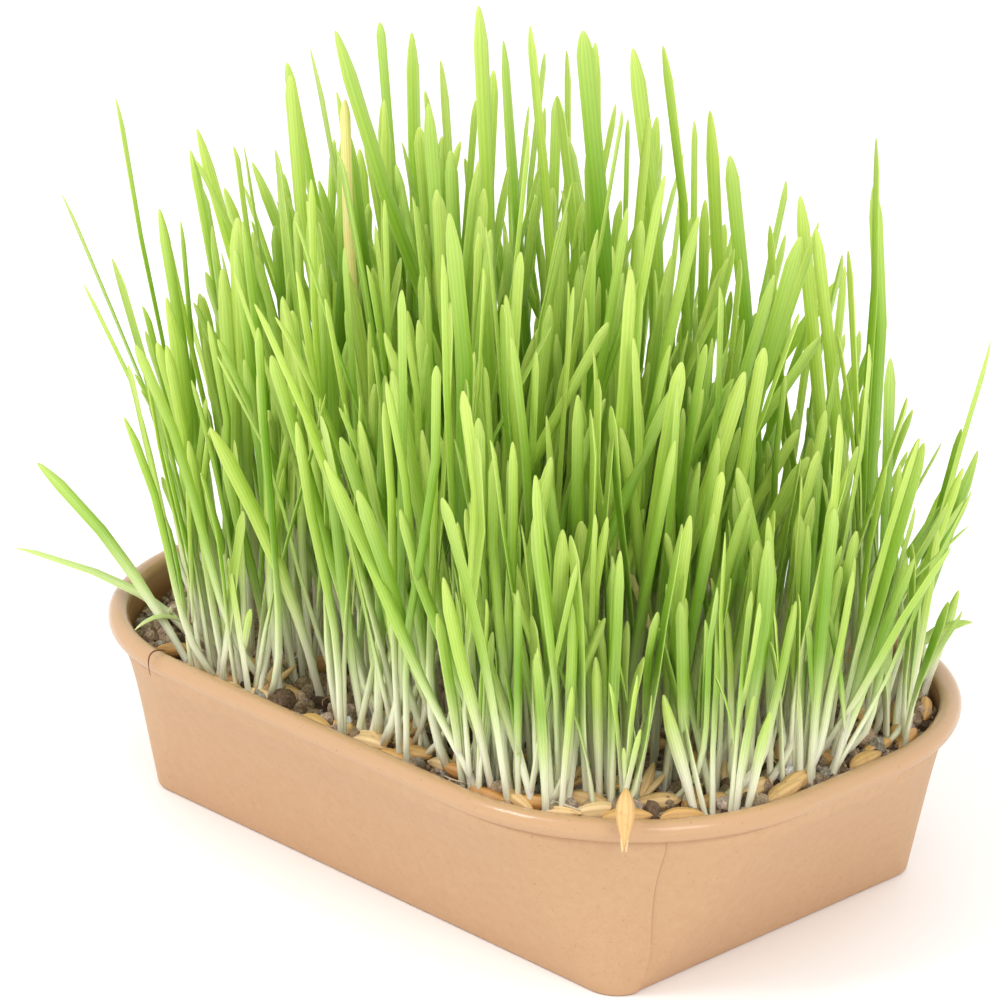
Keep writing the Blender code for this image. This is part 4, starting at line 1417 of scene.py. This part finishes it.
def grass_material():
    """Young cereal leaf: blanched at its foot, fresh green above, darker green on some blades partly as
    painted shade, yellow-green at its tip, finely veined.
    """
    made, tree, shader = new_material(
        "young wheatgrass leaf", 0.42, Subsurface_Weight=0.25, Subsurface_Scale=1.2 * MM)
    shader.inputs["Subsurface Radius"].default_value = (0.6, 1, 0.25)
    growth = add(tree, "Attribute", attribute_name="growth")
    parts = tints(tree, "growth")
    height, across, tint = (parts[name] for name in ("Red", "Green", "Blue"))
    young = ramp(tree, height, [
        (0, "EEEBDA"), (0.18, "E8EACB"), (0.34, "D5E19E"), (0.5, "BED864"), (0.8, "B6D24E"), (1, "BCD656"),
    ])
    # A darker green, partly each blade's own tone and partly painted shade for leaves that stand in shade
    deep_green_and_shade = ramp(tree, height, [
        (0, "E6E4CE"), (0.16, "DADFB8"), (0.3, "B4CC74"), (0.46, "7CA62A"), (0.8, "78A224"), (1, "8CB432"),
    ])
    # Each blade's random tint mixes the young green with the darker green that partly paints shade
    leaf = mixed(tree, tint, young, deep_green_and_shade)
    leaf = mixed(tree, ranged(tree, growth.outputs["Alpha"], 0.7, 1, 0, 0.55), leaf, linear("CBDF78"))
    for value, code in ((YELLOWED, "EBDD8E"), (GREY_GREEN, "C6D8A6")):
        marked = add(tree, "Math", {0: tint, 1: float(value), 2: 0.5}, operation="COMPARE")
        leaf = mixed(tree, marked.outputs[0], leaf, linear(code))
    sideways = add(tree, "Math", {0: across}, operation="ABSOLUTE").outputs[0]
    leaf = mixed(tree, ranged(tree, sideways, 0.8, 1, 0, 0.5), leaf, linear("DBE89C"))
    turns = add(tree, "Math", {0: across, 1: 16.0}, operation="MULTIPLY").outputs[0]
    stripes = add(tree, "Math", {0: turns}, operation="COSINE").outputs[0]
    leaf = scaled(tree, leaf, ranged(tree, stripes, -1, 1, 0.93, 1.07))
    dress(tree, shader, leaf, bumped(tree, stripes, 0.25, 0.04 * MM))
    return made


def make_stage():
    """A plain pale floor, soft light from two sides and a white room."""
    bm = bmesh.new()
    bmesh.ops.create_grid(bm, x_segments=1, y_segments=1, size=FLOOR_SIZE)
    mesh = stored("floor", bm)
    floor = bpy.data.objects.new("floor", mesh)
    bpy.context.scene.collection.objects.link(floor)
    pale, _, shader = new_material("matt white floor", 0.9)
    shader.inputs["Base Color"].default_value = (FLOOR_WHITE, FLOOR_WHITE, FLOOR_WHITE, 1)
    mesh.materials.append(pale)
    world = bpy.data.worlds.new("white room")
    world.use_nodes = True
    room = world.node_tree.nodes["Background"]
    room.inputs["Color"].default_value = (1, 1, 1, 1)
    room.inputs["Strength"].default_value = ROOM_LIGHT
    bpy.context.scene.world = world
    for name, place, size, power in LIGHTS:
        data = bpy.data.lights.new(name, "AREA")
        data.size = size
        data.energy = power
        lamp = bpy.data.objects.new(name, data)
        lamp.location = place
        lamp.rotation_euler = (Vector((0, 0, LIT_HEIGHT)) - Vector(place)).to_track_quat("-Z", "Y").to_euler()
        bpy.context.scene.collection.objects.link(lamp)


def make_camera():
    """The photograph's view of the tray."""
    right = level(VIEW_TURN)
    back = Vector((
        math.sin(VIEW_TURN) * math.cos(VIEW_TILT),
        -math.cos(VIEW_TURN) * math.cos(VIEW_TILT),
        math.sin(VIEW_TILT),
    ))
    up = back.cross(right)
    data = bpy.data.cameras.new("camera")
    data.lens = LENS
    data.sensor_width = SENSOR
    data.clip_start = 0.01
    camera = bpy.data.objects.new("camera", data)
    turned = Matrix((right, up, back)).transposed().to_4x4()
    middle = Vector((0, 0, RIM_HEIGHT)) + right * VIEW_SHIFT_RIGHT + up * VIEW_SHIFT_UP
    camera.matrix_world = Matrix.Translation(middle + back * VIEW_DISTANCE) @ turned
    bpy.context.scene.collection.objects.link(camera)
    bpy.context.scene.camera = camera


def main():
    bpy.context.scene.view_settings.view_transform = "Standard"
    make_camera()
    make_stage()
    make_tray_wall(kraft_board("kraft board"))
    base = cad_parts["tray_base"]
    base.material_slots[0].material = kraft_board("kraft board inside")
    make_soil(soil_material())
    grit = grit_material()
    make_grit("grit", GRIT_COUNT, GRIT_SIZES, 2, NAMED_BITS, GRIT_SEED, grit)
    make_grit("crumbs", CRUMB_COUNT, CRUMB_SIZES, 1, [], GRIT_SEED + 1, grit)
    hull = grain_material()
    shoots = sprouts(random.Random(SPROUT_SEED))
    make_grains(shoots, hull)
    make_hanging_grain(hull)
    make_root_hairs(root_material())
    make_grass(shoots, grass_material())


main()
